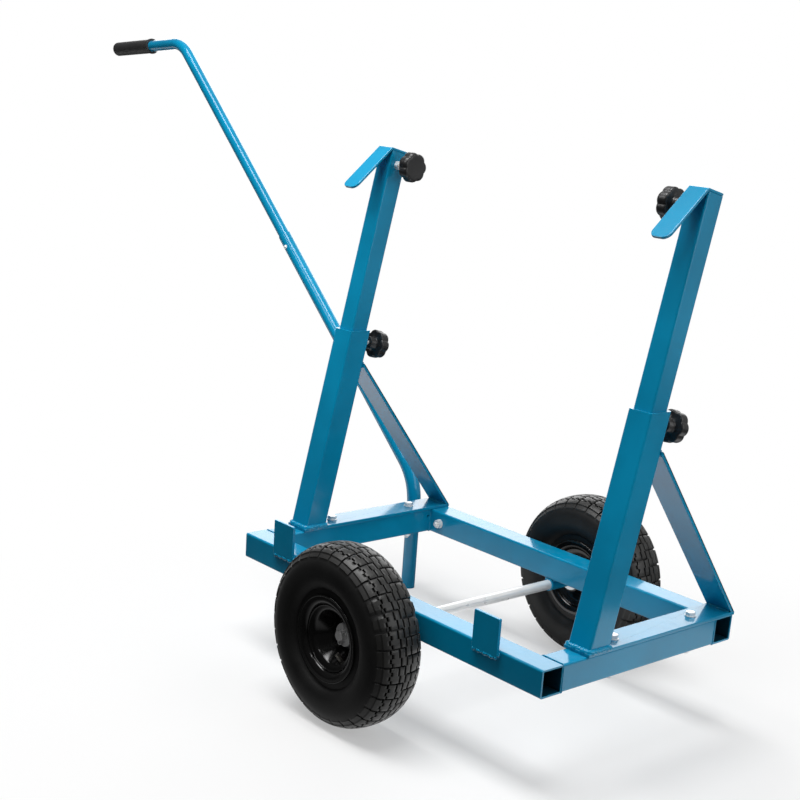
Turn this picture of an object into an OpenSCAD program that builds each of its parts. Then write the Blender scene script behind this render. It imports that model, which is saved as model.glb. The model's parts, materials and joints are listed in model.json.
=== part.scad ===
// Two-wheel drywall cart: a welded tube frame on a through axle, two slanted uprights
// that telescope and end in hooks, and a pull handle that runs down into a parking leg.
// X runs along the rails with the handle at the -X end, Y runs along the axle, Z is up,
// and the ground is at Z = 0. Millimetres.

/* [Frame] */
// Length of the two rails
rail_len = 660; // [520:10:900]
// Width over the outer faces of the rails
frame_w = 400; // [360:10:520]
// Side of the square frame tube
tube = 40; // [34:1:50]
// Wall of the frame tube
tube_wall = 2.5; // [1.5:0.1:4]
// Outer corner radius of every square tube
corner_r = 3; // [1:0.5:5]
// Diameter of the vent hole in each side member
vent_d = 4; // [2:0.5:8]
// Vent hole to the rear end of the side member
vent_end = 6; // [4:1:20]
// Vent hole below the top of the side member
vent_drop = 12; // [8:1:20]

/* [Stops] */
// Width of a stop tab
stop_w = 48; // [20:1:80]
// Thickness of a stop tab
stop_t = 5; // [3:0.5:10]
// Height of a stop tab over the rails
stop_rise = 45; // [20:1:90]
// Length of a stop tab that laps the rail's front face
stop_lap = 11; // [6:1:30]
// Rail end to the near edge of its stop tab
stop_inset = 80; // [20:5:180]

/* [Axle] */
// Diameter of the axle
axle_d = 16; // [10:0.5:18]
// Outer diameter of the sleeves that carry the axle
sleeve_d = 20; // [19:0.5:30]
// Length of a sleeve past the outer face of its rail
sleeve_over = 10; // [4:1:40]
// Width of the saddle that welds a sleeve to its rail
saddle_w = 14; // [8:1:18]
// Diameter of the axle washers
axle_washer_d = 34; // [28:1:38]
// Thickness of the axle washers
axle_washer_t = 3; // [1.5:0.5:5]
// Diameter of the split pins
split_d = 4; // [2.5:0.1:5]
// Split pin centre to the end of the axle
split_end = 7; // [5:0.5:15]
// Turn of the split pins about the axle
split_turn = 20; // [-90:5:90]
// End play of a hub between its washers, each side
end_play = 0.3; // [0.1:0.1:1]
// Radial running fit of a shaft in its hole
run_fit = 0.05; // [0.01:0.01:0.1]

/* [Wheels] */
// Diameter over the tread
wheel_d = 268; // [220:1:320]
// Width of the tyre
tyre_w = 86; // [80:1:100]
// Diameter of the rim flanges
rim_d = 125; // [115:1:140]
// Diameter of the bead seats
bead_d = 102; // [98:1:104]
// Width over the rim flanges
rim_w = 72; // [66:1:76]
// Diameter at which the two pressed halves of the rim meet
pan_d = 48; // [46:1:56]
// Diameter of the crease between a half's ring and its cone
crease_d = 84; // [78:1:90]
// Fall of the ring from the bead seat to the crease
crease_drop = 3; // [1:0.5:6]
// Plane in which the halves meet, from the wheel's middle plane
pan_z = -8; // [-10:1:-6]
// Bend between a bead seat and its flange, on the open side
flange_bend = 7; // [5:0.5:9]
// Sheet thickness of the rim
rim_t = 2.5; // [1.5:0.1:3.5]
// Width of a bead seat
bead_w = 9; // [7:1:12]
// Gap between tyre and rim
bead_gap = 0.1; // [0.05:0.05:0.5]
// Diameter of the valve stem
valve_d = 9; // [7:0.5:12]
// Length of the valve stem out of the rim
valve_len = 15; // [12:1:18]
// Valve from the wheel's axis, where it leaves the rim
valve_r = 37; // [34:1:38]
// Turn of the valve about the axle, in degrees from the lowest point
valve_turn = 24; // [-90:1:90]
// Outer diameter of the hub
hub_d = 40; // [38:1:50]
// Length of the hub
hub_len = 44; // [34:1:70]
// Outer diameter of the hub bearings
bearing_d = 35; // [30:1:36]
// Width of the hub bearings
bearing_w = 11; // [8:1:14]
// Depth of the tread
tread_depth = 5.2; // [2:0.2:8]
// Tread blocks in one row
tread_blocks = 32; // [16:2:40]
// Width of a groove between tread blocks
groove = 2; // [1:0.5:6]
// Width of a middle row of tread blocks
middle_row = 10; // [6:0.5:14]
// Width of the next row
next_row = 13; // [8:0.5:16]
// Width of the shoulder row
shoulder_row = 13; // [8:0.5:16]
// Rubber at the side of the tyre
side_wall = 5.5; // [3:0.5:8]
// Rubber under the tread
crown_wall = 8; // [4:0.5:10]

/* [Uprights] */
// Side of the outer square tube
post = 40; // [38:1:44]
// Wall of the outer tube
post_wall = 3.5; // [2:0.1:5]
// Lean of the uprights from the vertical, in degrees
post_lean = 12.5; // [5:0.5:20]
// Height of the outer tube's top over its base plate
post_rise = 317; // [280:5:420]
// Front face of the frame to the front foot of the uprights
post_y = 88; // [50:1:120]
// Width of the base plate and of its brace
plate_w = 46; // [44:1:60]
// Thickness of the base plate
plate_t = 5; // [3:0.5:10]
// Base plate ahead of the foot of the upright
plate_front = 4; // [2:1:20]
// Thickness of the brace strip
brace_t = 5; // [3:0.5:8]
// Height of the brace's top end over the base plate
brace_rise = 258; // [180:2:266]
// Brace foot to the rear end of the base plate
brace_back = 8; // [7:1:40]
// Foot of the upright to the front bolt
bolt_front = 28; // [16:1:60]
// Rear bolt to the rear end of the base plate
bolt_rear = 75; // [50:1:110]

/* [Masts and hooks] */
// Clearance of a telescoping tube, each side
slide_gap = 0.5; // [0.2:0.1:1]
// Wall of the inner tube
mast_wall = 2.5; // [1.5:0.1:4]
// Length of the inner tube
mast_len = 480; // [440:5:520]
// Length of the inner tube that stands out of the outer tube
mast_out = 285; // [240:5:300]
// Length of the hook's stem in the inner tube
stem_len = 150; // [100:5:180]
// Wall of the hook's stem
stem_wall = 2; // [1.5:0.1:4]
// Thickness of the hook strip
hook_t = 4; // [3:0.5:8]
// Length of the hook's limb
hook_len = 93; // [50:1:140]
// Angle between the limb and the inner tube, in degrees
hook_open = 36.5; // [20:0.5:60]
// Corner radius at the end of the limb
hook_round = 10; // [3:1:12]
// Gap between the hook and the top of the inner tube
seat_gap = 0.2; // [0.1:0.1:0.5]
// Top of the inner tube to the axis of its knob
mast_knob_drop = 20; // [16:1:60]
// Top of the outer tube to the axis of its knob
post_knob_drop = 16; // [14:1:40]

/* [Knobs] */
// Diameter over the lobes
knob_d = 46; // [36:1:56]
// Lobes of a knob
knob_lobes = 8; // [5:1:10]
// Thickness of the lobed head
knob_t = 17; // [10:1:24]
// Diameter of the neck
neck_d = 20; // [16:1:26]
// Length of the neck
neck_len = 12; // [6:1:20]
// Bare stud between the nut and the neck
knob_gap = 8; // [2:1:15]
// Stud that is moulded into the head
stud_in = 16; // [6:1:24]
// Stud tip to the tube that it clamps
tip_gap = 0.3; // [0.1:0.1:1]

/* [Fasteners] */
// Thread diameter of bolts, nuts and studs
bolt_d = 8; // [6:1:10]
// Width across flats of heads and nuts
flats = 13; // [12:1:17]
// Height of a bolt head
head_t = 5.3; // [4:0.1:8]
// Height of a nut
nut_t = 6.5; // [5:0.1:10]
// Height of the welded nuts under the knobs
weld_nut_t = 8; // [6:0.5:12]
// Diameter of a bolt washer
washer_d = 16; // [14:1:24]
// Thickness of a bolt washer
washer_t = 1.6; // [1:0.1:3]
// Bolt end past its nut
bolt_tail = 4; // [1:0.5:10]
// Clearance of a bolt hole, on the diameter
hole_gap = 0.4; // [0.2:0.1:1]

/* [Handle] */
// Diameter of the lower tube, which ends in the leg
lower_d = 25; // [22:0.5:32]
// Wall of both handle tubes
handle_wall = 1.5; // [1:0.1:2.5]
// Rail end to the axis of the leg
leg_out = 61; // [40:1:120]
// Height of the corner between leg and slope
leg_corner = 205; // [190:5:300]
// Rise of the sloping stretch, in degrees
slope = 42; // [30:1:55]
// Length of the slope from corner to corner
slope_len = 1087; // [900:5:1300]
// Corner at the leg to the seam between the tubes
seam = 574; // [300:2:700]
// Upper tube inside the lower one
insert_len = 80; // [50:2:150]
// Radial clearance between the tubes
insert_fit = 0.1; // [0.02:0.01:0.1]
// Bend radius at the leg
leg_bend = 100; // [60:5:160]
// Bend radius at the grip
grip_bend = 70; // [50:5:120]
// Corner at the grip to the end of the tube
grip_run = 253; // [200:1:320]
// Droop of the grip below level, in degrees
grip_droop = 4.5; // [0:0.5:15]
// Length of the grip
grip_len = 142; // [90:1:160]
// Diameter of the grip
grip_d = 28; // [26:0.5:36]
// Thickness of the grip's closed end
grip_cap = 4; // [2:0.5:8]
// Rounding of the grip's closed end
grip_round = 5; // [1:0.5:8]
// Diameter of the grip's collar
collar_d = 31; // [29:0.5:40]
// Length of the grip's collar
collar_len = 5; // [2:0.5:10]
// Stub of the handle inside the rear rail
stub_in = 110; // [90:5:200]
// Stub past the axis of the leg
stub_past = 16; // [8:1:40]
// Wall of the stub
stub_wall = 2.5; // [1.5:0.1:4]
// Width of the weld saddle between stub and leg
stub_weld = 14; // [6:1:20]
// Root gap of the weld between stub and leg
weld_gap = 0.5; // [0.2:0.1:2]
// Rail end to the bolt that holds the stub
stub_bolt_x = 65; // [50:1:85]
// Diameter of the snap button
button_d = 8; // [5:0.5:9]
// Height of the snap button over the lower tube
button_rise = 4; // [2:0.5:6]
// Seam to the axis of the snap button
button_drop = 28; // [15:1:40]
// Radial clearance of the snap button
button_gap = 0.3; // [0.1:0.1:0.6]
// Length of the leaf spring behind the button
leaf_len = 45; // [25:1:60]
// Thickness of the leaf spring
leaf_t = 0.8; // [0.5:0.1:1.2]

/* [Hidden] */
$fn = 96;
paint = "#12809f";
zinc = "#c9ccd0";
black = "#202224";
rubber = "#2b2b2b";
// Overlap of a cutter past the face that it cuts
past = 1;
// Lap of the handle's straight stretches over its bends, and the step between them
bend_lap = 1;
bend_thin = 0.05;
left = -1;
right = 1;
front = -1;
rear = 1;

// Frame heights and places, with the axle above the origin of this block
axle_z = wheel_d / 2;
rail_z = axle_z + sleeve_d / 2;
rail_top = rail_z + tube;
rail_y = (frame_w - tube) / 2;
half_len = rail_len / 2;
side_x = half_len - tube / 2;
inner_w = frame_w - 2 * tube;
plate_top = rail_top + plate_t;
bolt_hole = bolt_d + hole_gap;

// Stack on the axle, from the outer face of a rail outwards
washer_y = frame_w / 2 + sleeve_over;
hub_in_y = washer_y + axle_washer_t + end_play;
wheel_y = hub_in_y + hub_len;
cap_y = wheel_y + end_play;
split_y = cap_y + axle_washer_t + end_play + split_d / 2;
axle_half = split_y + split_end;

// Half section of the rim: the side to the tyre, and the open side over a meeting plane, which
// runs at the sheet's thickness from the other
seat_r = bead_d / 2;
seat_z = rim_w / 2 - rim_t - bead_w;
crease = [crease_d / 2, seat_z - crease_drop];
bend_step = 15;
function flange_arc(r) = [
  for (a = [90 : -bend_step : 0])
    [seat_r - rim_t + flange_bend - r * cos(a), rim_w / 2 - flange_bend + r * sin(a)]
];
function square_to(v) = [v.y, -v.x] / norm(v);
function opposite(a, b, c) =
  let (before = square_to(b - a), after = square_to(c - b))
  b + rim_t * (before + after) / (1 + before * after);
seat_side = concat(
  [[rim_d / 2, rim_w / 2 - rim_t]], flange_arc(flange_bend - rim_t), [[seat_r, seat_z], crease]
);
function open_side(plane) =
  let (
    hub_r = hub_d / 2 + run_fit,
    path = [[seat_r, rim_w / 2], [seat_r, seat_z], crease, [pan_d / 2, plane], [hub_r, plane]]
  )
  concat(
    [[rim_d / 2, rim_w / 2]], flange_arc(flange_bend),
    [for (i = [1 : 3]) opposite(path[i - 1], path[i], path[i + 1])], [[hub_r, plane + rim_t]]
  );

// Tyre section: a superellipse between the rim flange and the crown
tyre_power = 0.84;
tyre_foot = rim_d / 2 - 1;
crown_r = axle_z - tread_depth;
tyre_mid = (tyre_foot + crown_r) / 2;
tyre_half = (crown_r - tyre_foot) / 2;

// Upright: foot on the plate, lengths along the leaning axis
foot_y = -frame_w / 2 + post_y + post / cos(post_lean) / 2;
foot_rear = foot_y + post / cos(post_lean) / 2;
post_top = post_rise / cos(post_lean);
mast = post - 2 * (post_wall + slide_gap);
mast_top = post_top + mast_out;
stem = mast - 2 * (mast_wall + slide_gap);
post_knob_z = post_top - post_knob_drop;
mast_knob_z = mast_top - mast_knob_drop;
plate_y0 = -frame_w / 2 + post_y - plate_front;
plate_y1 = frame_w / 2;
bolt_ys = [foot_rear + bolt_front, plate_y1 - bolt_rear];

// Handle: directions are turned from +X towards +Z
stub = tube - 2 * (tube_wall + slide_gap);
upper_d = lower_d - 2 * (handle_wall + insert_fit);
handle_y = rail_y + stub / 2 + weld_gap + lower_d / 2;
slope_dir = 180 - slope;
grip_dir = 180 + grip_droop;
leg_x = -half_len - leg_out;
leg_tangent = leg_bend * tan((90 - slope) / 2);
grip_tangent = grip_bend * tan((slope + grip_droop) / 2);
low_corner = [leg_x, leg_corner];
high_corner = low_corner + slope_len * heading(slope_dir);
tube_end = high_corner + grip_run * heading(grip_dir);
button_p = low_corner + (seam - button_drop) * heading(slope_dir);
button_z = lower_d / 2 + button_rise;
flange_r = button_d / 2 + 1.5;
flange_t = 1.5;
flange_z = sqrt(pow(upper_d / 2 - handle_wall, 2) - pow(flange_r, 2)) - button_gap;

// The origin is below the middle of the cart's length, handle and all
grip_tip = tube_end + grip_cap * heading(grip_dir);
low_x = grip_tip.x - (grip_d / 2 - grip_round) * sin(grip_droop);
high_x = half_len + max(plate_w - tube, 0) / 2;
axle_x = -(low_x + high_x) / 2;

function heading(a) = [cos(a), sin(a)];
function curve(v) = sign(v) * pow(abs(v), tyre_power);
function section(a, half_r, half_w) = [tyre_mid + half_r * curve(sin(a)), half_w * curve(cos(a))];
function reversed(points) = [for (i = [len(points) - 1 : -1 : 0]) points[i]];
function flipped(points) = [for (p = points) [p.x, -p.y]];

// Shapes that repeat

module placed() translate([axle_x, 0, 0]) children();

module rounded_square(side, r) {
  flat = side - 2 * r;
  square([side, flat], center = true);
  square([flat, side], center = true);
  for (x = [-1, 1], y = [-1, 1]) translate([x, y] * flat / 2) circle(r);
}

module tube_profile(side, wall) {
  difference() {
    rounded_square(side, corner_r);
    rounded_square(side - 2 * wall, max(corner_r - wall, 0.5));
  }
}

module square_tube(side, wall, length) linear_extrude(length) tube_profile(side, wall);

module hex(height) cylinder(d = flats / cos(30), h = height, $fn = 6);

module washer(outer, inner, height) {
  difference() {
    cylinder(d = outer, h = height);
    translate([0, 0, -past]) cylinder(d = inner, h = height + 2 * past);
  }
}

module nut(height) {
  difference() {
    hex(height);
    translate([0, 0, -past]) cylinder(d = bolt_d + 2 * run_fit, h = height + 2 * past);
  }
}

// Bolt with its head on top of z = 0 and its shank downwards
module bolt(length) {
  hex(head_t);
  translate([0, 0, -length]) cylinder(d = bolt_d, h = length + past);
}

// Frame of one upright: z along the leaning tube, y towards the rear, x = 0 on its axis
module on_upright(side) {
  translate([side * side_x, foot_y, plate_top]) rotate([-post_lean, 0, 0]) children();
}

// Frame of one wheel: z outwards along the axle from the wheel's middle plane
module on_wheel(end) translate([0, end * wheel_y, axle_z]) rotate([-90 * end, 0, 0]) children();

// Frame of one knob: z outwards from the face of the tube that carries its nut
module on_post_face(side) {
  on_upright(side) translate([0, post / 2, post_knob_z]) rotate([-90, 0, 0]) children();
}

module on_mast_face(side) {
  on_upright(side) translate([-side * mast / 2, 0, mast_knob_z]) rotate([0, -90 * side, 0]) children();
}

// Frame of a handle stretch: z along the heading from a point in the handle's plane
module on_handle(p, dir) {
  translate([p.x, handle_y, p.y]) rotate([0, 90 - dir, 0]) children();
}

module handle_bend(p, dir, radius, turn, d) {
  centre = p + radius * heading(dir + 90);
  translate([centre.x, handle_y, centre.y])
    rotate([90, 0, 0]) rotate(dir - 90) rotate_extrude(angle = turn) translate([radius, 0]) circle(d = d);
}

// Frame

module rail(side) {
  color(paint)
    translate([-half_len, side * rail_y, rail_z + tube / 2])
      rotate([90, 0, 90]) square_tube(tube, tube_wall, rail_len);
}

module front_rail() placed() rail(front);

module rear_rail() {
  placed() color(paint) difference() {
    rail(rear);
    translate([-half_len + stub_bolt_x, rail_y, rail_z + tube / 2])
      rotate([90, 0, 0]) cylinder(d = bolt_hole, h = 2 * tube, center = true);
  }
}

module side_member(side) {
  placed() color(paint) difference() {
    translate([side * side_x, inner_w / 2, rail_z + tube / 2])
      rotate([90, 0, 0]) square_tube(tube, tube_wall, inner_w);
    for (y = bolt_ys) translate([side * side_x, y, rail_z - past]) cylinder(d = bolt_hole, h = tube + 2 * past);
    translate([side * side_x, inner_w / 2 - vent_end, rail_top - vent_drop])
      rotate([0, -90 * side, 0]) cylinder(d = vent_d, h = tube);
  }
}

module stop(side) {
  placed() color(paint)
    translate([side * (half_len - stop_inset - stop_w / 2), -frame_w / 2 - stop_t / 2, rail_top - stop_lap])
      linear_extrude(stop_rise + stop_lap) square([stop_w, stop_t], center = true);
}

// Axle and wheels

module axle_sleeve(end) {
  placed() color(paint) difference() {
    union() {
      translate([0, end * (rail_y - tube / 2), axle_z]) rotate([-90 * end, 0, 0])
        cylinder(d = sleeve_d, h = tube + sleeve_over);
      translate([-saddle_w / 2, end * rail_y - tube / 2, axle_z]) cube([saddle_w, tube, sleeve_d / 2]);
    }
    translate([0, 0, axle_z]) rotate([90, 0, 0])
      cylinder(d = axle_d + 2 * run_fit, h = 2 * axle_half, center = true);
  }
}

module axle() {
  chamfer = 1;
  placed() color(zinc) difference() {
    translate([0, 0, axle_z]) rotate([90, 0, 0]) union() {
      cylinder(d = axle_d, h = 2 * (axle_half - chamfer), center = true);
      for (s = [0, 180]) rotate([s, 0, 0]) translate([0, 0, axle_half - chamfer])
        cylinder(d1 = axle_d, d2 = axle_d - 2 * chamfer, h = chamfer);
    }
    for (end = [front, rear]) translate([0, end * split_y, axle_z]) rotate([0, split_turn, 0])
      cylinder(d = split_d + 2 * run_fit, h = 2 * axle_d, center = true);
  }
}

module axle_washers() {
  placed() color(zinc) for (end = [front, rear], y = [washer_y, cap_y])
    translate([0, end * y, axle_z]) rotate([-90 * end, 0, 0])
      washer(axle_washer_d, axle_d + 2 * run_fit, axle_washer_t);
}

// Split pin through the axle: an eye below, two prongs opened above
module split_pins() {
  eye_r = split_d * 0.9;
  wire = split_d / 2;
  prong = axle_d * 0.6;
  spread = 25;
  shank = axle_d / 2 + 1;
  placed() color(zinc) for (end = [front, rear])
    translate([0, end * split_y, axle_z]) rotate([0, split_turn, 0]) {
      translate([0, 0, -shank]) cylinder(d = split_d, h = 2 * shank);
      translate([0, 0, -shank - eye_r]) rotate([90, 0, 0])
        rotate_extrude() translate([eye_r, 0]) circle(d = wire);
      for (s = [-1, 1]) translate([s * split_d / 4, 0, shank - wire / 2]) rotate([0, s * spread, 0])
        cylinder(d = wire, h = prong);
    }
}

// Tyre: an open carcass that sits on the bead seats, with three rows of blocks on each half
module tyre(end) {
  bead_r = bead_d / 2 + bead_gap;
  flange_in = rim_w / 2 - rim_t - bead_gap;
  heel = 3;
  toe = 8;
  toe_slope = 2;
  step = 8;
  low = -40;
  high = 88;
  root = flange_bend - rim_t;
  outer = concat(
    [[bead_r, flange_in - bead_w], [bead_r, flange_in - root], [bead_r + root, flange_in]],
    [[tyre_foot + heel, flange_in]],
    [for (a = [low : step : high]) section(a, tyre_half, tyre_w / 2)]
  );
  inner = concat(
    [[bead_r + toe, flange_in - bead_w + toe_slope]],
    [for (a = [low : step : high]) section(a, tyre_half - crown_wall, tyre_w / 2 - side_wall)]
  );
  placed() color(rubber) on_wheel(end) union() {
    rotate_extrude() polygon(concat(outer, flipped(reversed(outer)), flipped(inner), reversed(inner)));
    tread();
  }
}

// Blocks stand out of a shell over the crown; one half of the tread is turned by half a pitch
module tread() {
  pitch = 360 / tread_blocks;
  edges = [0, middle_row, middle_row + next_row, middle_row + next_row + shoulder_row];
  low = 18;
  high = 180 - low;
  step = 9;
  over = 0.5;
  intersection() {
    for (half = [0, 1], row = [0 : 2]) mirror([0, 0, half]) rotate(half * pitch / 2)
      translate([0, 0, edges[row] + groove / 2])
        linear_extrude(edges[row + 1] - edges[row] - groove) tread_row(pitch);
    rotate_extrude() polygon(concat(
      [for (a = [low : step : high]) section(a, tyre_half + tread_depth, tyre_w / 2 + over)],
      [for (a = [high : -step : low]) section(a, tyre_half - crown_wall / 2, tyre_w / 2 - side_wall / 2)]
    ));
  }
}

module tread_row(pitch) {
  gap = groove / axle_z * 180 / PI;
  out = axle_z + 2 * tread_depth;
  for (i = [0 : tread_blocks - 1]) rotate(i * pitch + gap / 2)
    polygon(concat(
      [tyre_mid * heading(pitch - gap), tyre_mid * heading(0)],
      [for (k = [0 : 3]) out * heading(k * (pitch - gap) / 3)]
    ));
}

// Rim: two pressed halves that meet on the hub, each a cone that runs out over a crease into a
// ring, a bead seat and a flange with a rolled lip
module rim(end) {
  lip_d = 1.3 * rim_t;
  lip_z = rim_w / 2 - rim_t + lip_d / 2 + bead_gap;
  placed() color(black) on_wheel(end) difference() {
    union() {
      rotate_extrude() polygon(concat(
        seat_side, [[pan_d / 2, pan_z]], flipped(reversed(seat_side)),
        flipped(open_side(-pan_z)), reversed(open_side(pan_z))
      ));
      for (s = [-1, 1]) rotate_extrude() translate([rim_d / 2, s * lip_z]) circle(d = lip_d, $fn = 24);
    }
    on_valve() translate([0, 0, -2 * rim_t]) cylinder(d = valve_d + 2 * run_fit, h = 5 * rim_t);
  }
}

module hub(end) {
  shoulder = 2;
  placed() color(black) on_wheel(end) difference() {
    translate([0, 0, -hub_len]) cylinder(d = hub_d, h = hub_len);
    translate([0, 0, -hub_len - past]) cylinder(d = bearing_d - 2 * shoulder, h = hub_len + 2 * past);
    translate([0, 0, -bearing_w]) cylinder(d = bearing_d + 2 * run_fit, h = bearing_w + past);
    translate([0, 0, -hub_len - past]) cylinder(d = bearing_d + 2 * run_fit, h = bearing_w + past);
  }
}

module bearings(end) {
  placed() color(zinc) on_wheel(end) for (z = [-bearing_w, -hub_len]) translate([0, 0, z]) bearing();
}

// Bearing ring with a sunk shield on both faces
module bearing() {
  bore = axle_d / 2 + run_fit;
  land = (bearing_d / 2 - bore) / 4;
  sunk = 1;
  rotate_extrude() difference() {
    translate([bore, 0]) square([bearing_d / 2 - bore, bearing_w]);
    for (z = [-past, bearing_w - sunk]) translate([bore + land, z])
      square([bearing_d / 2 - bore - 2 * land, sunk + past]);
  }
}

// Frame of the valve: z along its stem, square out of the outer half's cone
module on_valve() {
  angle = atan2(crease.x - pan_d / 2, crease.y - pan_z);
  valve_z = pan_z + (valve_r - pan_d / 2) / tan(angle);
  rotate(valve_turn) translate([0, -valve_r, valve_z]) rotate([angle - 90, 0, 0]) children();
}

// Valve: a flange inside the tyre, the stem and a slimmer cap
module valve(end) {
  flange_t = 2;
  cap_d = 0.8 * valve_d;
  cap_len = valve_len / 3;
  placed() color(zinc) on_wheel(end) on_valve() {
    translate([0, 0, -2 * flange_t - rim_t / 2]) cylinder(d = 1.5 * valve_d, h = flange_t);
    translate([0, 0, -flange_t - rim_t]) cylinder(d = valve_d, h = valve_len - cap_len + flange_t + rim_t);
    translate([0, 0, valve_len - cap_len]) cylinder(d = cap_d, h = cap_len);
  }
}

// Uprights

module base_plate(side) {
  placed() color(paint) difference() {
    translate([side * side_x - plate_w / 2, plate_y0, rail_top]) cube([plate_w, plate_y1 - plate_y0, plate_t]);
    for (y = bolt_ys) translate([side * side_x, y, rail_top - past]) cylinder(d = bolt_hole, h = plate_t + 2 * past);
  }
}

// Outer tube, cut level at both ends, with the stud's hole in its rear wall
module post_tube(side) {
  placed() color(paint) difference() {
    intersection() {
      on_upright(side) translate([0, 0, -post]) square_tube(post, post_wall, post_top + 2 * post);
      translate([side * side_x - post, -frame_w, plate_top]) cube([2 * post, 2 * frame_w, post_rise]);
    }
    on_post_face(side) translate([0, 0, -post / 2]) cylinder(d = bolt_hole, h = post);
  }
}

// Brace strip, mitred to the plate and to the rear face of the outer tube
module brace(side) {
  lean = [sin(post_lean), cos(post_lean)];
  top = [foot_rear + brace_rise * tan(post_lean), brace_rise];
  foot = [plate_y1 - brace_back, 0];
  run = (foot - top) / norm(foot - top);
  rise = brace_t / abs(run.x * lean.y - run.y * lean.x);
  spread = brace_t / abs(run.y);
  placed() color(paint) translate([side * side_x - plate_w / 2, 0, plate_top]) rotate([90, 0, 90])
    linear_extrude(plate_w) polygon([top, foot, foot + [spread, 0], top + rise * lean]);
}

module at_base_bolts() {
  for (side = [left, right], y = bolt_ys) translate([side * side_x, y, 0]) children();
}

module base_bolts() {
  length = plate_top + washer_t - rail_z + washer_t + nut_t + bolt_tail;
  placed() color(zinc) at_base_bolts() translate([0, 0, plate_top + washer_t]) bolt(length);
}

module base_washers() {
  placed() color(zinc) at_base_bolts() for (z = [plate_top, rail_z - washer_t])
    translate([0, 0, z]) washer(washer_d, bolt_d + 2 * run_fit, washer_t);
}

module base_nuts() {
  placed() color(zinc) at_base_bolts() translate([0, 0, rail_z - washer_t - nut_t]) nut(nut_t);
}

module post_nuts() placed() color(zinc) for (side = [left, right]) on_post_face(side) nut(weld_nut_t);

// Masts and hooks

module mast_tube(side) {
  placed() color(paint) difference() {
    on_upright(side) translate([0, 0, mast_top - mast_len]) square_tube(mast, mast_wall, mast_len);
    on_mast_face(side) translate([0, 0, -mast / 2]) cylinder(d = bolt_hole, h = mast);
  }
}

module mast_nut(side) placed() color(zinc) on_mast_face(side) nut(weld_nut_t);

// Hook strip: a flat over the tube's end, a bend, and a limb with rounded corners
module hook(side) {
  bend_steps = 6;
  corner = [-mast / 2, 0];
  limb = hook_len * heading(270 - hook_open);
  face = hook_t * heading(180 - hook_open);
  profile = concat(
    [corner, [mast / 2, 0], [mast / 2, hook_t]],
    [for (k = [0 : bend_steps]) corner + hook_t * heading(90 + k * (90 - hook_open) / bend_steps)],
    [corner + limb + face, corner + limb]
  );
  placed() color(paint) on_upright(side) translate([0, 0, mast_top + seat_gap]) difference() {
    rotate([90, 0, 90]) linear_extrude(mast, center = true) polygon(profile);
    translate([0, corner.x, 0]) rotate([270 - hook_open, 0, 0]) for (s = [0, 1]) mirror([s, 0, 0])
      translate([mast / 2 - hook_round, hook_len - hook_round, -2 * hook_t]) difference() {
        cube([2 * hook_round, 2 * hook_round, 4 * hook_t]);
        translate([0, 0, -past]) cylinder(r = hook_round, h = 4 * hook_t + 2 * past);
      }
  }
}

module hook_stem(side) {
  placed() color(paint) on_upright(side) translate([0, 0, mast_top + seat_gap - stem_len])
    square_tube(stem, stem_wall, stem_len);
}

// Knobs: a lobed head with a dished rim on a neck, and the stud that is moulded in

module knob_at_face() {
  lobe_r = 1.15 * knob_d / knob_lobes;
  sink = 0.8 * lobe_r;
  edge = 2;
  base = weld_nut_t + knob_gap;
  difference() {
    union() {
      translate([0, 0, base]) cylinder(d = neck_d, h = neck_len + edge);
      translate([0, 0, base + neck_len]) intersection() {
        union() {
          cylinder(r = knob_d / 2 - sink, h = knob_t);
          for (i = [0 : knob_lobes - 1]) rotate(i * 360 / knob_lobes) translate([knob_d / 2 - lobe_r, 0, 0])
            cylinder(r = lobe_r, h = knob_t);
        }
        rotate_extrude() polygon([
          [0, 0], [knob_d / 2 - edge, 0], [knob_d / 2, edge], [knob_d / 2, knob_t - 2 * edge],
          [knob_d / 2 - 2 * edge, knob_t], [0, knob_t]
        ]);
      }
    }
    translate([0, 0, base - past]) cylinder(d = bolt_d + 2 * run_fit, h = stud_in + past);
  }
}

// Stud from the clamped tube, through wall and nut, into the knob
module stud_at_face(wall_and_gap) {
  tip = wall_and_gap - tip_gap;
  translate([0, 0, -tip]) cylinder(d = bolt_d, h = tip + weld_nut_t + knob_gap + stud_in);
}

module post_knob(side) placed() color(black) on_post_face(side) knob_at_face();

module mast_knob(side) placed() color(black) on_mast_face(side) knob_at_face();

module post_stud(side) placed() color(zinc) on_post_face(side) stud_at_face(post_wall + slide_gap);

module mast_stud(side) placed() color(zinc) on_mast_face(side) stud_at_face(mast_wall + slide_gap);

// Handle

module handle_stub() {
  placed() color(paint) difference() {
    union() {
      translate([leg_x - stub_past, rail_y, rail_z + tube / 2]) rotate([90, 0, 90])
        square_tube(stub, stub_wall, leg_out + stub_past + stub_in);
      translate([leg_x - stub_weld / 2, rail_y + stub / 2, rail_z + tube / 2 - stub / 2 + corner_r])
        cube([stub_weld, lower_d / 4, stub - 2 * corner_r]);
    }
    lower_path(lower_d, 0);
    translate([-half_len + stub_bolt_x, rail_y, rail_z + tube / 2]) rotate([90, 0, 0])
      cylinder(d = bolt_hole, h = 2 * tube, center = true);
  }
}

// Paths of the two tubes at one diameter, lengthened past their ends by a cut. A bend is drawn
// a hair slimmer than the straight stretches, which run a little way over it.
module lower_path(d, cut) {
  leg_len = leg_corner - leg_tangent;
  start = low_corner + (leg_tangent - bend_lap) * heading(slope_dir);
  on_handle([leg_x, -cut], 90) cylinder(d = d, h = leg_len + bend_lap + cut);
  handle_bend([leg_x, leg_len], 90, leg_bend, 90 - slope, d - 2 * bend_thin);
  on_handle(start, slope_dir) cylinder(d = d, h = seam - leg_tangent + bend_lap + cut);
}

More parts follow.
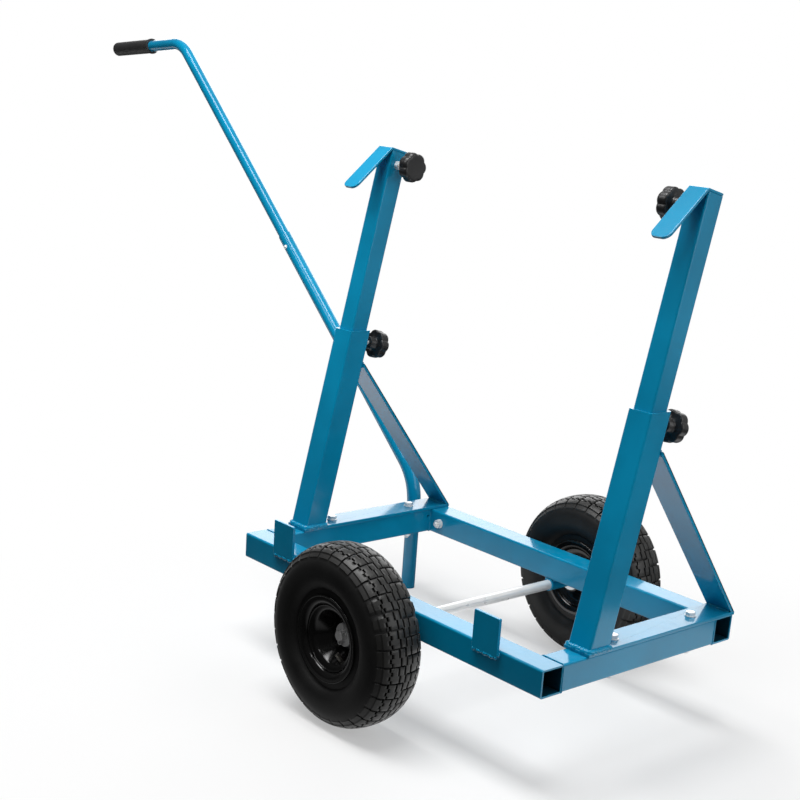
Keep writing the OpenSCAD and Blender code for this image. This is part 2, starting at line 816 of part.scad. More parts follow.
module upper_path(d, cut) {
  start = low_corner + (seam - insert_len - cut) * heading(slope_dir);
  bend = high_corner - grip_tangent * heading(slope_dir);
  straight = high_corner + (grip_tangent - bend_lap) * heading(grip_dir);
  slope_run = slope_len - grip_tangent - seam + insert_len;
  on_handle(start, slope_dir) cylinder(d = d, h = slope_run + bend_lap + cut);
  handle_bend(bend, slope_dir, grip_bend, slope + grip_droop, d - 2 * bend_thin);
  on_handle(straight, grip_dir) cylinder(d = d, h = grip_run - grip_tangent + bend_lap + cut);
}

module button_hole() {
  translate([button_p.x, handle_y, button_p.y]) rotate([90, 0, 0])
    cylinder(d = button_d + 2 * button_gap, h = lower_d);
}

module handle_lower() {
  placed() color(paint) difference() {
    lower_path(lower_d, 0);
    lower_path(lower_d - 2 * handle_wall, past);
    button_hole();
  }
}

module handle_upper() {
  placed() color(paint) difference() {
    upper_path(upper_d, 0);
    upper_path(upper_d - 2 * handle_wall, past);
    button_hole();
  }
}

module handle_grip() {
  collar_edge = 1.5;
  bore = upper_d / 2 + run_fit;
  placed() color(black) on_handle(tube_end, grip_dir) difference() {
    rotate_extrude() union() {
      translate([grip_d / 2 - grip_round, grip_cap - grip_round]) intersection() {
        circle(grip_round);
        square(grip_round);
      }
      translate([0, grip_cap - grip_round]) square([grip_d / 2 - grip_round, grip_round]);
      translate([0, grip_cap - grip_len]) square([grip_d / 2, grip_len - grip_round]);
      translate([0, grip_cap - grip_len]) polygon([
        [0, 0], [collar_d / 2 - collar_edge, 0], [collar_d / 2, collar_edge],
        [collar_d / 2, collar_len - collar_edge], [grip_d / 2, collar_len], [0, collar_len]
      ]);
    }
    translate([0, 0, grip_cap - grip_len - past]) cylinder(r = bore, h = grip_len - grip_cap + past);
  }
}

// Snap button: a domed pin with a flange that stays inside the upper tube
module snap_button() {
  dome = button_d / 2;
  placed() color(zinc) translate([button_p.x, handle_y, button_p.y]) rotate([90, 0, 0]) {
    translate([0, 0, flange_z - flange_t]) cylinder(r = flange_r, h = flange_t);
    translate([0, 0, flange_z - past]) cylinder(d = button_d, h = button_z - dome - flange_z + past);
    translate([0, 0, button_z - dome]) intersection() {
      sphere(dome);
      cylinder(r = dome, h = dome);
    }
  }
}

// Leaf spring: one arm under the button, folded back towards the far wall of the tube
module button_spring() {
  leaf_w = 7;
  fold = 10;
  arm_z = flange_z - flange_t - leaf_t;
  placed() color(zinc) translate([button_p.x, handle_y, button_p.y]) rotate([0, 90 - slope_dir, 0])
    rotate([90, 0, 0]) translate([-leaf_w / 2, 0, arm_z]) {
      translate([0, -leaf_w / 2, 0]) cube([leaf_w, leaf_len, leaf_t]);
      translate([0, leaf_len - leaf_w / 2, leaf_t]) rotate([180 + fold, 0, 0]) cube([leaf_w, leaf_len / 2, leaf_t]);
    }
}

// Bolt of the handle's stub: head behind the rear rail, nut on the inner face
module on_stub_bolt() {
  translate([-half_len + stub_bolt_x, rail_y, rail_z + tube / 2]) rotate([-90, 0, 0]) children();
}

module stub_bolt() {
  length = tube + 2 * washer_t + nut_t + bolt_tail;
  placed() color(zinc) on_stub_bolt() translate([0, 0, tube / 2 + washer_t]) bolt(length);
}

module stub_washers() {
  placed() color(zinc) on_stub_bolt() for (z = [tube / 2, -tube / 2 - washer_t])
    translate([0, 0, z]) washer(washer_d, bolt_d + 2 * run_fit, washer_t);
}

module stub_nut() placed() color(zinc) on_stub_bolt() translate([0, 0, -tube / 2 - washer_t - nut_t]) nut(nut_t);

front_rail();
rear_rail();
side_member(left);  // left_side_member
side_member(right);  // right_side_member
stop(left);  // left_stop
stop(right);  // right_stop
axle_sleeve(front);  // front_axle_sleeve
axle_sleeve(rear);  // rear_axle_sleeve
axle();
axle_washers();
split_pins();
tyre(front);  // front_tyre
rim(front);  // front_rim
hub(front);  // front_hub
bearings(front);  // front_bearings
valve(front);  // front_valve
tyre(rear);  // rear_tyre
rim(rear);  // rear_rim
hub(rear);  // rear_hub
bearings(rear);  // rear_bearings
valve(rear);  // rear_valve
base_plate(left);  // left_base_plate
base_plate(right);  // right_base_plate
post_tube(left);  // left_post
post_tube(right);  // right_post
brace(left);  // left_brace
brace(right);  // right_brace
base_bolts();
base_washers();
base_nuts();
post_nuts();
mast_tube(left);  // left_mast
mast_tube(right);  // right_mast
mast_nut(left);  // left_mast_nut
mast_nut(right);  // right_mast_nut
hook(left);  // left_hook
hook(right);  // right_hook
hook_stem(left);  // left_hook_stem
hook_stem(right);  // right_hook_stem
post_knob(left);  // left_post_knob
post_knob(right);  // right_post_knob
mast_knob(left);  // left_mast_knob
mast_knob(right);  // right_mast_knob
post_stud(left);  // left_post_stud
post_stud(right);  // right_post_stud
mast_stud(left);  // left_mast_stud
mast_stud(right);  // right_mast_stud
handle_stub();
handle_lower();
handle_upper();
handle_grip();
snap_button();
button_spring();
stub_bolt();
stub_washers();
stub_nut();
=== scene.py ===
"""Look of a two-wheel drywall cart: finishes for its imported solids, and finer pieces in place of some."""

import json
import math

import bmesh
import bpy
import numpy as np
from mathutils import Matrix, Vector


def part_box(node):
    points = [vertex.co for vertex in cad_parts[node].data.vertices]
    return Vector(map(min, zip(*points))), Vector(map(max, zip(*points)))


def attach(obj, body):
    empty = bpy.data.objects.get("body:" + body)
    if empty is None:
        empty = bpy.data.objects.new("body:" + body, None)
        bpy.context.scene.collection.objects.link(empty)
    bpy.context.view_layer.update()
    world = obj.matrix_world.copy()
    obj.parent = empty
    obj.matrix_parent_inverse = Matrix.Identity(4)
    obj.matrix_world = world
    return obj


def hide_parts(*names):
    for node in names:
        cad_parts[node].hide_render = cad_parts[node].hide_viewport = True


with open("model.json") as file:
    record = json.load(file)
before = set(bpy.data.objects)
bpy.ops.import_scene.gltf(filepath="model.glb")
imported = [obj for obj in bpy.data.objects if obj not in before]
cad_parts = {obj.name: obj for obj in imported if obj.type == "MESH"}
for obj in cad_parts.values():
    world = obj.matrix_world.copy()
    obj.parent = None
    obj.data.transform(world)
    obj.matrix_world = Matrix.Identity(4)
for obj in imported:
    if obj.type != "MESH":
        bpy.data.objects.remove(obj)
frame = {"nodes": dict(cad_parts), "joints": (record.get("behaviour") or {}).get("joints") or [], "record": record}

bl_info = {
    "name": "Drywall Cart",
    "version": (1, 0, 0),
    "blender": (4, 5, 0),
    "location": "View3D > Sidebar > Cart",
    "description": "Builds the look of a two-wheel drywall cart on its packed solids",
    "category": "Object",
}

MM = 0.001
TURN = 2 * math.pi
JOINTS = {joint["name"]: joint for joint in frame["joints"]}
SIDES = (("left", -1), ("right", 1))
ENDS = (("front", -1), ("rear", 1))
X = np.array([1.0, 0.0, 0.0])
Y = np.array([0.0, 1.0, 0.0])
Z = np.array([0.0, 0.0, 1.0])

# Sizes of the pieces, in millimetres, and the lean of the uprights, in radians
TYRE_SEAT = 62.0
MAST_HALF = 16.0
MAST_KNOB_DROP = 20.0
KNOB_BASE = 16.0
STUD_FROM = {"_post": -3.6, "_mast": -2.6}
STUD_TO = 30.0
BOLT_D = 8.0
BOLT_THREAD = 16.0
HEX_FLATS = 13.0
HEAD_TALL = 5.3
NUT_TALL = 6.5
CLAMP_NUT_TALL = 8.0
NUT_BORE = 4.02
WASHER_BORE = 4.05
WASHER_R = 8.0
WASHER_T = 1.6
PLATE_EDGE = 0.7
POST_TUBE = 40.0
POST_LEAN = math.radians(12.5)

# Lamps: size, place and aim, in metres
LAMPS = {
    "key": ((2.4, 0.9), (0.3, -0.5, 3.0), (0.3, -0.5, 0.2)),
    "side": ((1.6, 1.6), (2.6, 0.5, 1.3), (0.5, 0.1, 0.3)),
    "back": ((3.4, 1.8), (-1.45, 2.1, 1.25), (0.4, 0.0, 0.3)),
    "upper": ((0.9, 0.3), (0.1, -0.62, 1.3), (0.1, -0.1, 1.0)),
    "catch": ((0.35, 0.35), (1.3, -1.7, 2.0), (0.35, -0.25, 0.25)),
}

# Camera: place in metres, yaw, pitch and roll in radians, shift in widths of the picture
CAMERA_AT = (2.03538, -1.48003, 0.88813)
CAMERA_ANGLES = (-0.8089, 0.2912, 0.0796)
CAMERA_SHIFT = (-0.06, 0.15)


# Places and grids


def unit(v):
    """The vector or vectors at length 1."""
    v = np.asarray(v, float)
    return v / np.linalg.norm(v, axis=-1, keepdims=True)


def low_high(node):
    """Lowest and highest corner of a solid, in millimetres."""
    return tuple(np.array(corner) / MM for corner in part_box(node))


class Place:
    """Frame with an origin, a z axis and the direction that its x axis leans to."""

    def __init__(self, origin, z=Z, x=X):
        self.origin = np.asarray(origin, float)
        z = unit(z)
        y = unit(np.cross(z, x))
        self.axes = np.array([np.cross(y, z), y, z])

    def __call__(self, points):
        """Local points in the cart's frame, in millimetres."""
        return self.origin + np.asarray(points) @ self.axes


def matrix(x, y, z, at):
    """Object matrix of three axes and a place, in metres."""
    return Matrix((*np.column_stack([x, y, z, at]).tolist(), (0, 0, 0, 1)))


def rectangle(low, high):
    """Corners of a rectangle, in order."""
    return [(low[0], low[1]), (high[0], low[1]), (high[0], high[1]), (low[0], high[1])]


class Shape:
    """Points and faces of one piece, gathered from grids of points in millimetres."""

    def __init__(self):
        self.points, self.faces, self.count = [], [], 0

    def grid(self, points, loop=False, caps=False):
        """Adds quads between the neighbours of a grid (rows, columns, 3) whose rows are closed. loop joins
        the last row to the first, and caps closes both by a face."""
        rows, columns = points.shape[:2]
        index = self.count + np.arange(rows * columns).reshape(rows, columns)
        if caps:
            self.faces += [index[0, ::-1].tolist(), index[-1].tolist()]
        index = np.concatenate([index, index[:, :1]], 1)
        if loop:
            index = np.concatenate([index, index[:1]], 0)
        quads = np.stack([index[:-1, :-1], index[:-1, 1:], index[1:, 1:], index[1:, :-1]], -1)
        self.faces += quads.reshape(-1, 4).tolist()
        self.points.append(points.reshape(-1, 3))
        self.count += rows * columns
        return self

    def piece(self, name, slot, body, stands_for=(), sharp=40.0, wear=None):
        """Makes the mesh, with faces outwards, and has it ride on its body in its slot's finish."""
        mesh = bpy.data.meshes.new(name)
        mesh.from_pydata((np.concatenate(self.points) * MM).tolist(), [], self.faces)
        if wear is not None:
            mesh.attributes.new("wear", "FLOAT", "POINT").data.foreach_set("value", wear.astype(np.float32))
        work = bmesh.new()
        work.from_mesh(mesh)
        bmesh.ops.remove_doubles(work, verts=work.verts, dist=1e-6)
        bmesh.ops.recalc_face_normals(work, faces=work.faces)
        work.to_mesh(mesh)
        work.free()
        mesh.shade_smooth()
        mesh.set_sharp_from_angle(angle=math.radians(sharp))
        mesh.materials.append(FINISHES[slot]())
        piece = bpy.data.objects.new(name, mesh)
        bpy.context.scene.collection.objects.link(piece)
        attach(piece, body)
        if stands_for:
            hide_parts(*stands_for)


# Surfaces


def rounded(corners, cut, steps=4, closed=True):
    """Outline whose corners c become curves (1-t)^2 a + 2t(1-t) c + t^2 b, with a and b a cut away from c.
    One more point on either side of a curve keeps the straight stretches flat in shading."""
    most, guard = 0.38, 1.3
    c = np.asarray(corners, float)
    back, ahead = np.roll(c, 1, 0) - c, np.roll(c, -1, 0) - c
    reach = np.minimum(np.linalg.norm(back, axis=1), np.linalg.norm(ahead, axis=1))
    d = np.minimum(np.broadcast_to(cut, reach.shape), most * reach)[:, None]
    back, ahead, c = (unit(back) * d)[:, None], (unit(ahead) * d)[:, None], c[:, None]
    t = np.linspace(0, 1, steps + 1)[None, :, None]
    curve = c + (1 - t) ** 2 * back + t**2 * ahead
    curves = np.concatenate([c + guard * back, curve, c + guard * ahead], 1)
    c = c[:, 0]
    if closed:
        return curves.reshape(-1, c.shape[1])
    return np.concatenate([c[:1], curves[1:-1].reshape(-1, c.shape[1]), c[-1:]])


def turned(profile, place, steps=64):
    """Surface of revolution: (r cos f, r sin f, z) for a profile of (r, z)."""
    f = np.linspace(0, TURN, steps, endpoint=False)
    r, z = np.asarray(profile, float).T[:, :, None]
    return place(np.stack([r * np.cos(f), r * np.sin(f), z + 0 * f], -1))


def slab(outline, depth, place):
    """Plate: a closed outline carried through its depth, and drawn in along its normals at both faces."""
    p = np.asarray(outline, float)
    ahead = np.roll(p, -1, 0)
    area = np.sum(p[:, 0] * ahead[:, 1] - p[:, 1] * ahead[:, 0])
    p = p if area > 0 else p[::-1]
    along = unit(np.roll(p, -1, 0) - np.roll(p, 1, 0))
    out = np.stack([along[:, 1], -along[:, 0]], -1)
    inset = PLATE_EDGE * np.array([1.6, 1, 0.3, 0, 0, 0, 0, 0.3, 1, 1.6])
    z = PLATE_EDGE * np.array([0, 0, 0.3, 1, 1.4])
    z = np.concatenate([z, depth - z[::-1]])
    flat = p - inset[:, None, None] * out
    return place(np.concatenate([flat, np.broadcast_to(z[:, None, None], flat.shape[:2] + (1,))], -1))


def strip(path, half_w, half_t, edge, place):
    """Flat bar: a rounded rectangle of half sizes w(s) and t(s) carried along a path in the place's
    yz plane."""
    along = unit(np.gradient(path, axis=0))
    normal = np.stack([along[:, 1], -along[:, 0]], -1)
    e = np.minimum(edge, np.minimum(half_w, half_t))[:, None]
    angle = np.linspace(0, math.pi / 2, 4)
    one = np.concatenate([[1], np.cos(angle), [-0.5]])
    two = np.concatenate([[-0.5], np.sin(angle), [1]])
    cos = np.concatenate([one, -two, -one, two])
    sin = np.concatenate([two, one, -two, -one])
    sx, sy = np.repeat([1, -1, -1, 1], 6), np.repeat([1, 1, -1, -1], 6)
    across = sx * (half_w[:, None] - e) + e * cos
    rise = sy * (half_t[:, None] - e) + e * sin
    yz = path[:, None, :] + rise[..., None] * normal[:, None, :]
    return place(np.concatenate([across[..., None], yz], -1))


def hexagon(place, tall, bore=0.0, both=True):
    """Hexagon with turned corners: the side at R(f) = flats / 2 / cos(f mod 60 - 30) ends where a
    cone of 30 degrees over a circle of 0.95 flats meets it."""
    circle, cone = 0.95, math.radians(30)
    f = np.linspace(0, TURN, 48, endpoint=False)
    side = HEX_FLATS / 2 / np.cos(f % (math.pi / 3) - math.pi / 6)
    face = circle / 2 * HEX_FLATS + 0 * f
    drop = (side - face) * math.tan(cone)
    r = np.stack([bore + 0 * f, face, side, side, face, bore + 0 * f])
    z = np.stack([0 * f, 0 * f, both * drop, tall - drop, tall + 0 * f, tall + 0 * f])
    return place(np.stack([r * np.cos(f), r * np.sin(f), z], -1))


def thread(place, z0, z1, pitch=1.25, columns=20):
    """Threaded rod: r(f, z) = d / 2 - 0.6 pitch |2 (z / pitch - f / turn mod 1) - 1|, thinned at both
    tips by 0.7 pitch."""
    rows_per_pitch, least_rows, depth, tip_depth = 5, 8, 0.6, 0.7
    f = np.linspace(0, TURN, columns, endpoint=False)
    z = np.linspace(z0, z1, max(int((z1 - z0) / pitch * rows_per_pitch), least_rows))[:, None]
    saw = np.abs(2 * ((z / pitch - f / TURN) % 1) - 1)
    tip = np.clip(1 - np.minimum(z - z0, z1 - z) / pitch, 0, 1)
    r = BOLT_D / 2 - pitch * np.maximum(depth * saw, tip_depth * tip)
    return place(np.stack([r * np.cos(f), r * np.sin(f), z + 0 * f], -1))


def bead(path, radius, closed=False, pitch=4.2, columns=12, seed=0.0):
    """Weld bead: a circle of radius R(s, f) carried along a path, R growing by a chevron of ripples
    frac(s / pitch + 0.3 cos f) and by slow sines, with the path itself swaying a little."""
    rows_per_pitch, least_rows, slow_wave, sway_wave, sway_share = 5, 12, 17, 23, 0.1
    base, ripple_share, slow_share, least_end = 0.8, 0.45, 0.15, 0.0004
    askew = unit([0.31, 0.52, 0.8])
    p = np.asarray(path, float)
    if closed:
        p = np.concatenate([p, p[:1]])
    length = np.concatenate([[0], np.cumsum(np.linalg.norm(np.diff(p, axis=0), axis=1))])
    total = length[-1]
    count = max(int(total / pitch * rows_per_pitch), least_rows)
    s = np.linspace(0, total, count, endpoint=not closed)
    centre = np.stack([np.interp(s, length, p[:, k]) for k in range(3)], -1)
    if closed:
        along = unit(np.roll(centre, -1, 0) - np.roll(centre, 1, 0))
    else:
        along = unit(np.gradient(centre, axis=0))
    one = unit(np.cross(along, askew))
    two = np.cross(along, one)
    waves = total / max(round(total / pitch), 1)
    slow = np.sin(TURN * s / total * round(total / slow_wave + 1) + seed)[:, None]
    swing = np.sin(TURN * s / total * round(total / sway_wave + 1) + 2 * seed)[:, None]
    sway = sway_share * radius * (swing * one + slow * two)
    f = np.linspace(0, TURN, columns, endpoint=False)
    ripple = (s[:, None] / waves + 0.3 * np.cos(f)) % 1
    r = radius * (base + ripple_share * ripple + slow_share * slow)
    if not closed:
        end = np.clip(np.minimum(s, total - s) / radius, 0, 1)[:, None]
        r = r * np.sqrt(np.clip(1 - (1 - end) ** 2, least_end, 1))
    circle = np.cos(f)[:, None] * one[:, None] + np.sin(f)[:, None] * two[:, None]
    return (centre + sway)[:, None] + r[..., None] * circle


# Finishes


class Signal:
    """Output socket of a node. The usual operators join it to numbers and other outputs by Math nodes."""

    def __init__(self, nodes, socket):
        self.nodes, self.socket = nodes, socket

    def math(self, operation, first, second):
        """One Math node over two values."""
        return self.nodes.add("ShaderNodeMath", {0: first, 1: second}, {"operation": operation})

    def __sub__(self, other):
        return self.math("SUBTRACT", self, other)

    def __rsub__(self, other):
        return self.math("SUBTRACT", other, self)

    def __mul__(self, other):
        return self.math("MULTIPLY", self, other)

    def __rmul__(self, other):
        return self.math("MULTIPLY", other, self)

    def __abs__(self):
        return self.math("ABSOLUTE", self, 0.0)


class Nodes:
    """Node tree that is filled by one generic method."""

    def __init__(self, tree):
        self.tree = tree
        tree.nodes.clear()

    def add(self, kind, sockets=None, settings=None, out=0):
        """Adds a node: its settings first, then its sockets, each a number, a colour or a Signal."""
        made = self.tree.nodes.new(kind)
        for key, value in (settings or {}).items():
            setattr(made, key, value)
        for key, value in (sockets or {}).items():
            if isinstance(value, Signal):
                self.tree.links.new(value.socket, made.inputs[key])
            else:
                made.inputs[key].default_value = value
        return Signal(self, made.outputs[out]) if made.outputs else None

    def place(self):
        """Object coordinates, in metres."""
        return self.add("ShaderNodeTexCoord", out="Object")

    def axis(self, vector, name):
        """One part of a vector: X, Y or Z."""
        return self.add("ShaderNodeSeparateXYZ", {0: vector}, out=name)

    def distance(self, point):
        """Distance to a point, in metres."""
        sockets = {0: self.place(), 1: point}
        return self.add("ShaderNodeVectorMath", sockets, {"operation": "DISTANCE"}, "Value")

    def ray(self, kind):
        """1 for rays of one kind, and 0 for others."""
        return self.add("ShaderNodeLightPath", out=kind)

    def either(self, share, first, second):
        """Either of two shaders, by a share."""
        return self.add("ShaderNodeMixShader", {0: share, 1: first, 2: second})

    def noise(self, scale, detail=2.0, rough=0.5):
        """Noise in object coordinates, from 0 to 1."""
        sockets = {"Vector": self.place(), "Scale": scale, "Detail": detail, "Roughness": rough}
        return self.add("ShaderNodeTexNoise", sockets)

    def ramp(self, value, low, high, start=0.0, end=1.0):
        """Smooth step of a value between two limits."""
        sockets = {"Value": value, "From Min": low, "From Max": high, "To Min": start, "To Max": end}
        return self.add("ShaderNodeMapRange", sockets, {"interpolation_type": "SMOOTHSTEP"})

    def mix(self, share, first, second):
        """Colour between two colours."""
        return self.add("ShaderNodeMix", {0: share, 6: first, 7: second}, {"data_type": "RGBA"}, 2)

    def bump(self, height, strength, distance):
        """Normal that follows a height."""
        sockets = {"Height": height, "Strength": strength, "Distance": distance}
        return self.add("ShaderNodeBump", sockets)


def finish(slot, build):
    """Material of a slot, built once by its function, which returns the sockets of the Principled node."""
    name = "cart_" + slot
    if name in bpy.data.materials:
        return bpy.data.materials[name]
    material = bpy.data.materials.new(name)
    material.use_nodes = True
    nodes = Nodes(material.node_tree)
    surface = nodes.add("ShaderNodeBsdfPrincipled", build(nodes))
    nodes.add("ShaderNodeOutputMaterial", {"Surface": surface})
    return material


def rail_inside(nodes):
    """1 inside the bore of either rail and 0 elsewhere: the mask of a near-black painted shade in the bore, which
    also stands for the bare steel where the coat hardly reaches.
    """
    low, high = (corner * MM for corner in low_high("rear_rail"))
    middle, half = (low + high) / 2, (high - low) / 2
    fade, margins = 0.0004, np.array([0.0012, 0.0022, 0.0022])
    inside = half - margins
    near = []
    for k, name in enumerate("XYZ"):
        at = nodes.axis(nodes.place(), name)
        away = abs(abs(at) - middle[k]) if name == "Y" else abs(at - middle[k])
        near.append(nodes.ramp(away, inside[k] - fade, inside[k], 1.0, 0.0))
    return near[0] * near[1] * near[2]


def blue_coat(nodes):
    """Glossy teal-blue coat: slow change of tone, a little dust on faces that look up, and near-black painted
    shade in the bores of the rails, partly bare steel where the coat hardly reaches.
    """
    look = settings("paint")
    swing = 0.04
    tone = nodes.noise(9.0, 3.0)
    blue = nodes.mix(nodes.ramp(tone, 0.3, 0.7), (*look.deep, 1), (*look.light, 1))
    upward = nodes.axis(nodes.add("ShaderNodeNewGeometry", out="Normal"), "Z")
    specks = nodes.ramp(nodes.noise(70.0, 5.0, 0.6), 0.45, 0.85) * nodes.ramp(upward, 0.9, 1.0)
    dusty = nodes.mix(specks * look.dust, blue, (0.5, 0.5, 0.48, 1))
    return {
        # Painted shade: near black inside the rail bores, standing also for the bare steel there.
        "Base Color": nodes.mix(rail_inside(nodes), dusty, (0.004, 0.005, 0.006, 1)),
        "Roughness": nodes.ramp(tone, 0.2, 0.8, look.roughness - swing, look.roughness + swing),
        "Specular IOR Level": look.sheen,
        "Coat Weight": nodes.ramp(specks, 0.0, 1.0, 1.0, 0.7),
        "Coat Roughness": look.coat_roughness,
        "Coat IOR": look.coat_ior,
    }


def zinc(nodes):
    """Bright zinc plate with cloudy patches."""
    cloud = nodes.noise(60.0, 3.0)
    return {
        "Base Color": nodes.mix(cloud, (0.84, 0.85, 0.86, 1), (0.9, 0.9, 0.89, 1)),
        "Metallic": 0.4,
        "Roughness": nodes.ramp(cloud, 0.2, 0.8, 0.26, 0.34),
    }


def tyre(nodes):
    """Rubber: a bloom over the sides; block tops in a lighter grey, worn rubber and painted highlight; lug ends
    the same, as a painted highlight; and grooves near black, as painted shade.
    """
    wear = nodes.add("ShaderNodeAttribute", None, {"attribute_name": "wear"}, "Fac")
    cloud = nodes.noise(26.0, 4.0, 0.6)
    side = nodes.mix(nodes.ramp(cloud, 0.3, 0.75), (0.004, 0.004, 0.0042, 1), (0.009, 0.009, 0.009, 1))
    # Lighter grey of the tread tops: worn rubber and painted highlight; the lug ends get it as a painted highlight
    # only.
    worn_and_lit = nodes.mix(nodes.ramp(cloud, 0.3, 0.75), (0.0145, 0.0145, 0.014, 1), (0.024, 0.024, 0.023, 1))
    # Painted shade: near black in the grooves round the crown.
    sunk = nodes.mix(nodes.ramp(wear, 0.0, 0.5), (0.001, 0.001, 0.001, 1), side)
    return {
        "Base Color": nodes.mix(nodes.ramp(wear, 0.5, 1.0), sunk, worn_and_lit),
        "Roughness": nodes.ramp(wear, 0.5, 1.0, 0.56, 0.4),
        "Specular IOR Level": 0.4,
        "Normal": nodes.bump(nodes.noise(900.0, 3.0), 0.08, 0.0004),
    }


def black_enamel(nodes):
    """Gloss black enamel on pressed steel."""
    cloud = nodes.noise(40.0, 2.0)
    return {
        "Base Color": nodes.mix(cloud, (0.004, 0.004, 0.004, 1), (0.008, 0.008, 0.008, 1)),
        "Roughness": nodes.ramp(cloud, 0.2, 0.8, 0.12, 0.2),
        "Normal": nodes.bump(nodes.noise(320.0, 1.0), 0.04, 0.0005),
    }


def valve_brass(nodes):
    """Plated brass."""
    cloud = nodes.noise(300.0, 2.0)
    return {
        "Base Color": nodes.mix(cloud, (0.2, 0.19, 0.17, 1), (0.4, 0.385, 0.35, 1)),
        "Metallic": 1.0,
        "Roughness": nodes.ramp(cloud, 0.2, 0.8, 0.25, 0.45),
    }


def knob_plastic(nodes):
    """Black moulded plastic with a slight sheen and a fine grain."""
    grain = nodes.noise(1500.0, 2.0)
    return {
        "Base Color": nodes.mix(nodes.noise(90.0), (0.009, 0.009, 0.01, 1), (0.018, 0.018, 0.019, 1)),
        "Roughness": nodes.ramp(grain, 0.3, 0.7, 0.3, 0.42),
        "Normal": nodes.bump(grain, 0.1, 0.0002),
    }


def grip_rubber(nodes):
    """Dark grey rubber sleeve with a fine grain."""
    grain = nodes.noise(1100.0, 3.0)
    return {
        "Base Color": nodes.mix(nodes.noise(60.0, 3.0), (0.022, 0.022, 0.023, 1), (0.036, 0.036, 0.036, 1)),
        "Roughness": nodes.ramp(grain, 0.3, 0.7, 0.5, 0.66),
        "Specular IOR Level": 0.4,
        "Normal": nodes.bump(grain, 0.15, 0.0003),
    }


FINISHES = {
    build.__name__: (lambda build=build: finish(build.__name__, build))
    for build in (blue_coat, zinc, tyre, black_enamel, valve_brass, knob_plastic, grip_rubber)
}


# Settings

SHARE = {"subtype": "FACTOR", "min": 0.0, "max": 1.0}
POWER = {"subtype": "POWER", "unit": "POWER", "min": 0.0, "max": 1000.0}


class CartPaint(bpy.types.PropertyGroup):
    """Blue coat of the tubes and plates."""

    deep: bpy.props.FloatVectorProperty(
        name="Deep tone", description="Darker tone of the coat",
        subtype="COLOR", size=3, default=(0.0, 0.23, 0.415),
    )
    light: bpy.props.FloatVectorProperty(
        name="Light tone", description="Lighter tone of the coat",
        subtype="COLOR", size=3, default=(0.0, 0.28, 0.5),
    )
    roughness: bpy.props.FloatProperty(
        name="Roughness", description="Roughness under the clear coat", default=0.34, **SHARE
    )
    sheen: bpy.props.FloatProperty(
        name="Sheen", description="Reflection under the clear coat", default=0.08, **SHARE
    )
    coat_roughness: bpy.props.FloatProperty(
        name="Coat roughness", description="Roughness of the clear coat", default=0.09, **SHARE
    )
    coat_ior: bpy.props.FloatProperty(
        name="Coat IOR", description="Index of refraction of the clear coat", default=1.36, min=1.1, max=2.0
    )
    dust: bpy.props.FloatProperty(
        name="Dust", description="Dust on faces that look up", default=0.08, **SHARE
    )


class CartTyre(bpy.types.PropertyGroup):
    """Tyre section and tread, in millimetres."""

    power: bpy.props.FloatProperty(
        name="Section power", description="Exponent of the superellipse", default=0.84, min=0.5, max=1.0
    )
    depth: bpy.props.FloatProperty(
        name="Groove depth", description="Depth of the grooves at the crown", default=3.4, min=1.0, max=6.0
    )
    lug: bpy.props.FloatProperty(
        name="Lug height", description="Height of the lugs over the side", default=3.0, min=0.5, max=4.0
    )
    blocks: bpy.props.IntProperty(
        name="Blocks", description="Blocks in one row round the tyre", default=32, min=16, max=40
    )


class CartWelds(bpy.types.PropertyGroup):
    """Weld beads, in millimetres."""

    foot: bpy.props.FloatProperty(
        name="Foot bead", description="Radius of the beads round the uprights", default=4.0, min=1.0, max=6.0
    )
    seam: bpy.props.FloatProperty(
        name="Seam bead", description="Radius of the other beads", default=2.4, min=1.0, max=6.0
    )


class CartStage(bpy.types.PropertyGroup):
    """Floor, light and camera."""

    floor: bpy.props.FloatProperty(
        name="Floor", description="Side of the floor",
        subtype="DISTANCE", unit="LENGTH", default=24.0, min=4.0, max=60.0,
    )
    ambient: bpy.props.FloatProperty(
        name="Ambient", description="Strength of the surroundings as light", default=0.14, min=0, max=2
    )
    key: bpy.props.FloatProperty(
        name="Key", description="Power of the soft light overhead", default=77.0, **POWER
    )
    back: bpy.props.FloatProperty(
        name="Back", description="Power of the panel behind the cart", default=43.0, **POWER
    )
    side: bpy.props.FloatProperty(
        name="Side", description="Power of the panel beside the cart", default=16.0, **POWER
    )
    upper: bpy.props.FloatProperty(
        name="Upper", description="Power of the lamp before the masts", default=4.0, **POWER
    )
    catch: bpy.props.FloatProperty(
        name="Catch", description="Power of the small light over the camera", default=3.0, **POWER
    )
    lens: bpy.props.FloatProperty(
        name="Lens", description="Focal length in millimetres", default=64.782, min=20, max=200
    )


def settings(name):
    """The settings of one group in this scene."""
    return getattr(bpy.context.scene, "cart_" + name)


# Places on the cart


def wheel_place(end_name, end):
    """Frame of a wheel: z outwards along the axle from its middle plane."""
    return Place(np.array(JOINTS[end_name + "_wheel_spin"]["pos_m"]) / MM, end * Y)


def post_face(side_name):
    """Frame of a lower knob: z outwards from the rear face of the outer tube."""
    joint = JOINTS[side_name + "_post_knob_turn"]
    return Place(np.array(joint["pos_m"]) / MM, joint["axis"])


def mast_face(side_name):
    """Frame of an upper knob: z outwards from the inner face of the inner tube."""
    joint = JOINTS[side_name + "_mast_knob_turn"]
    return Place(np.array(joint["pos_m"]) / MM, joint["axis"], Y)


def mast_end(side_name, side):
    """Frame at the top of an inner tube: z along the tube, y to the rear."""
    lean = np.array(JOINTS[side_name + "_mast_slide"]["axis"])
    face = np.array(JOINTS[side_name + "_mast_knob_turn"]["pos_m"]) / MM
    return Place(face + side * MAST_HALF * X + MAST_KNOB_DROP * lean, lean)


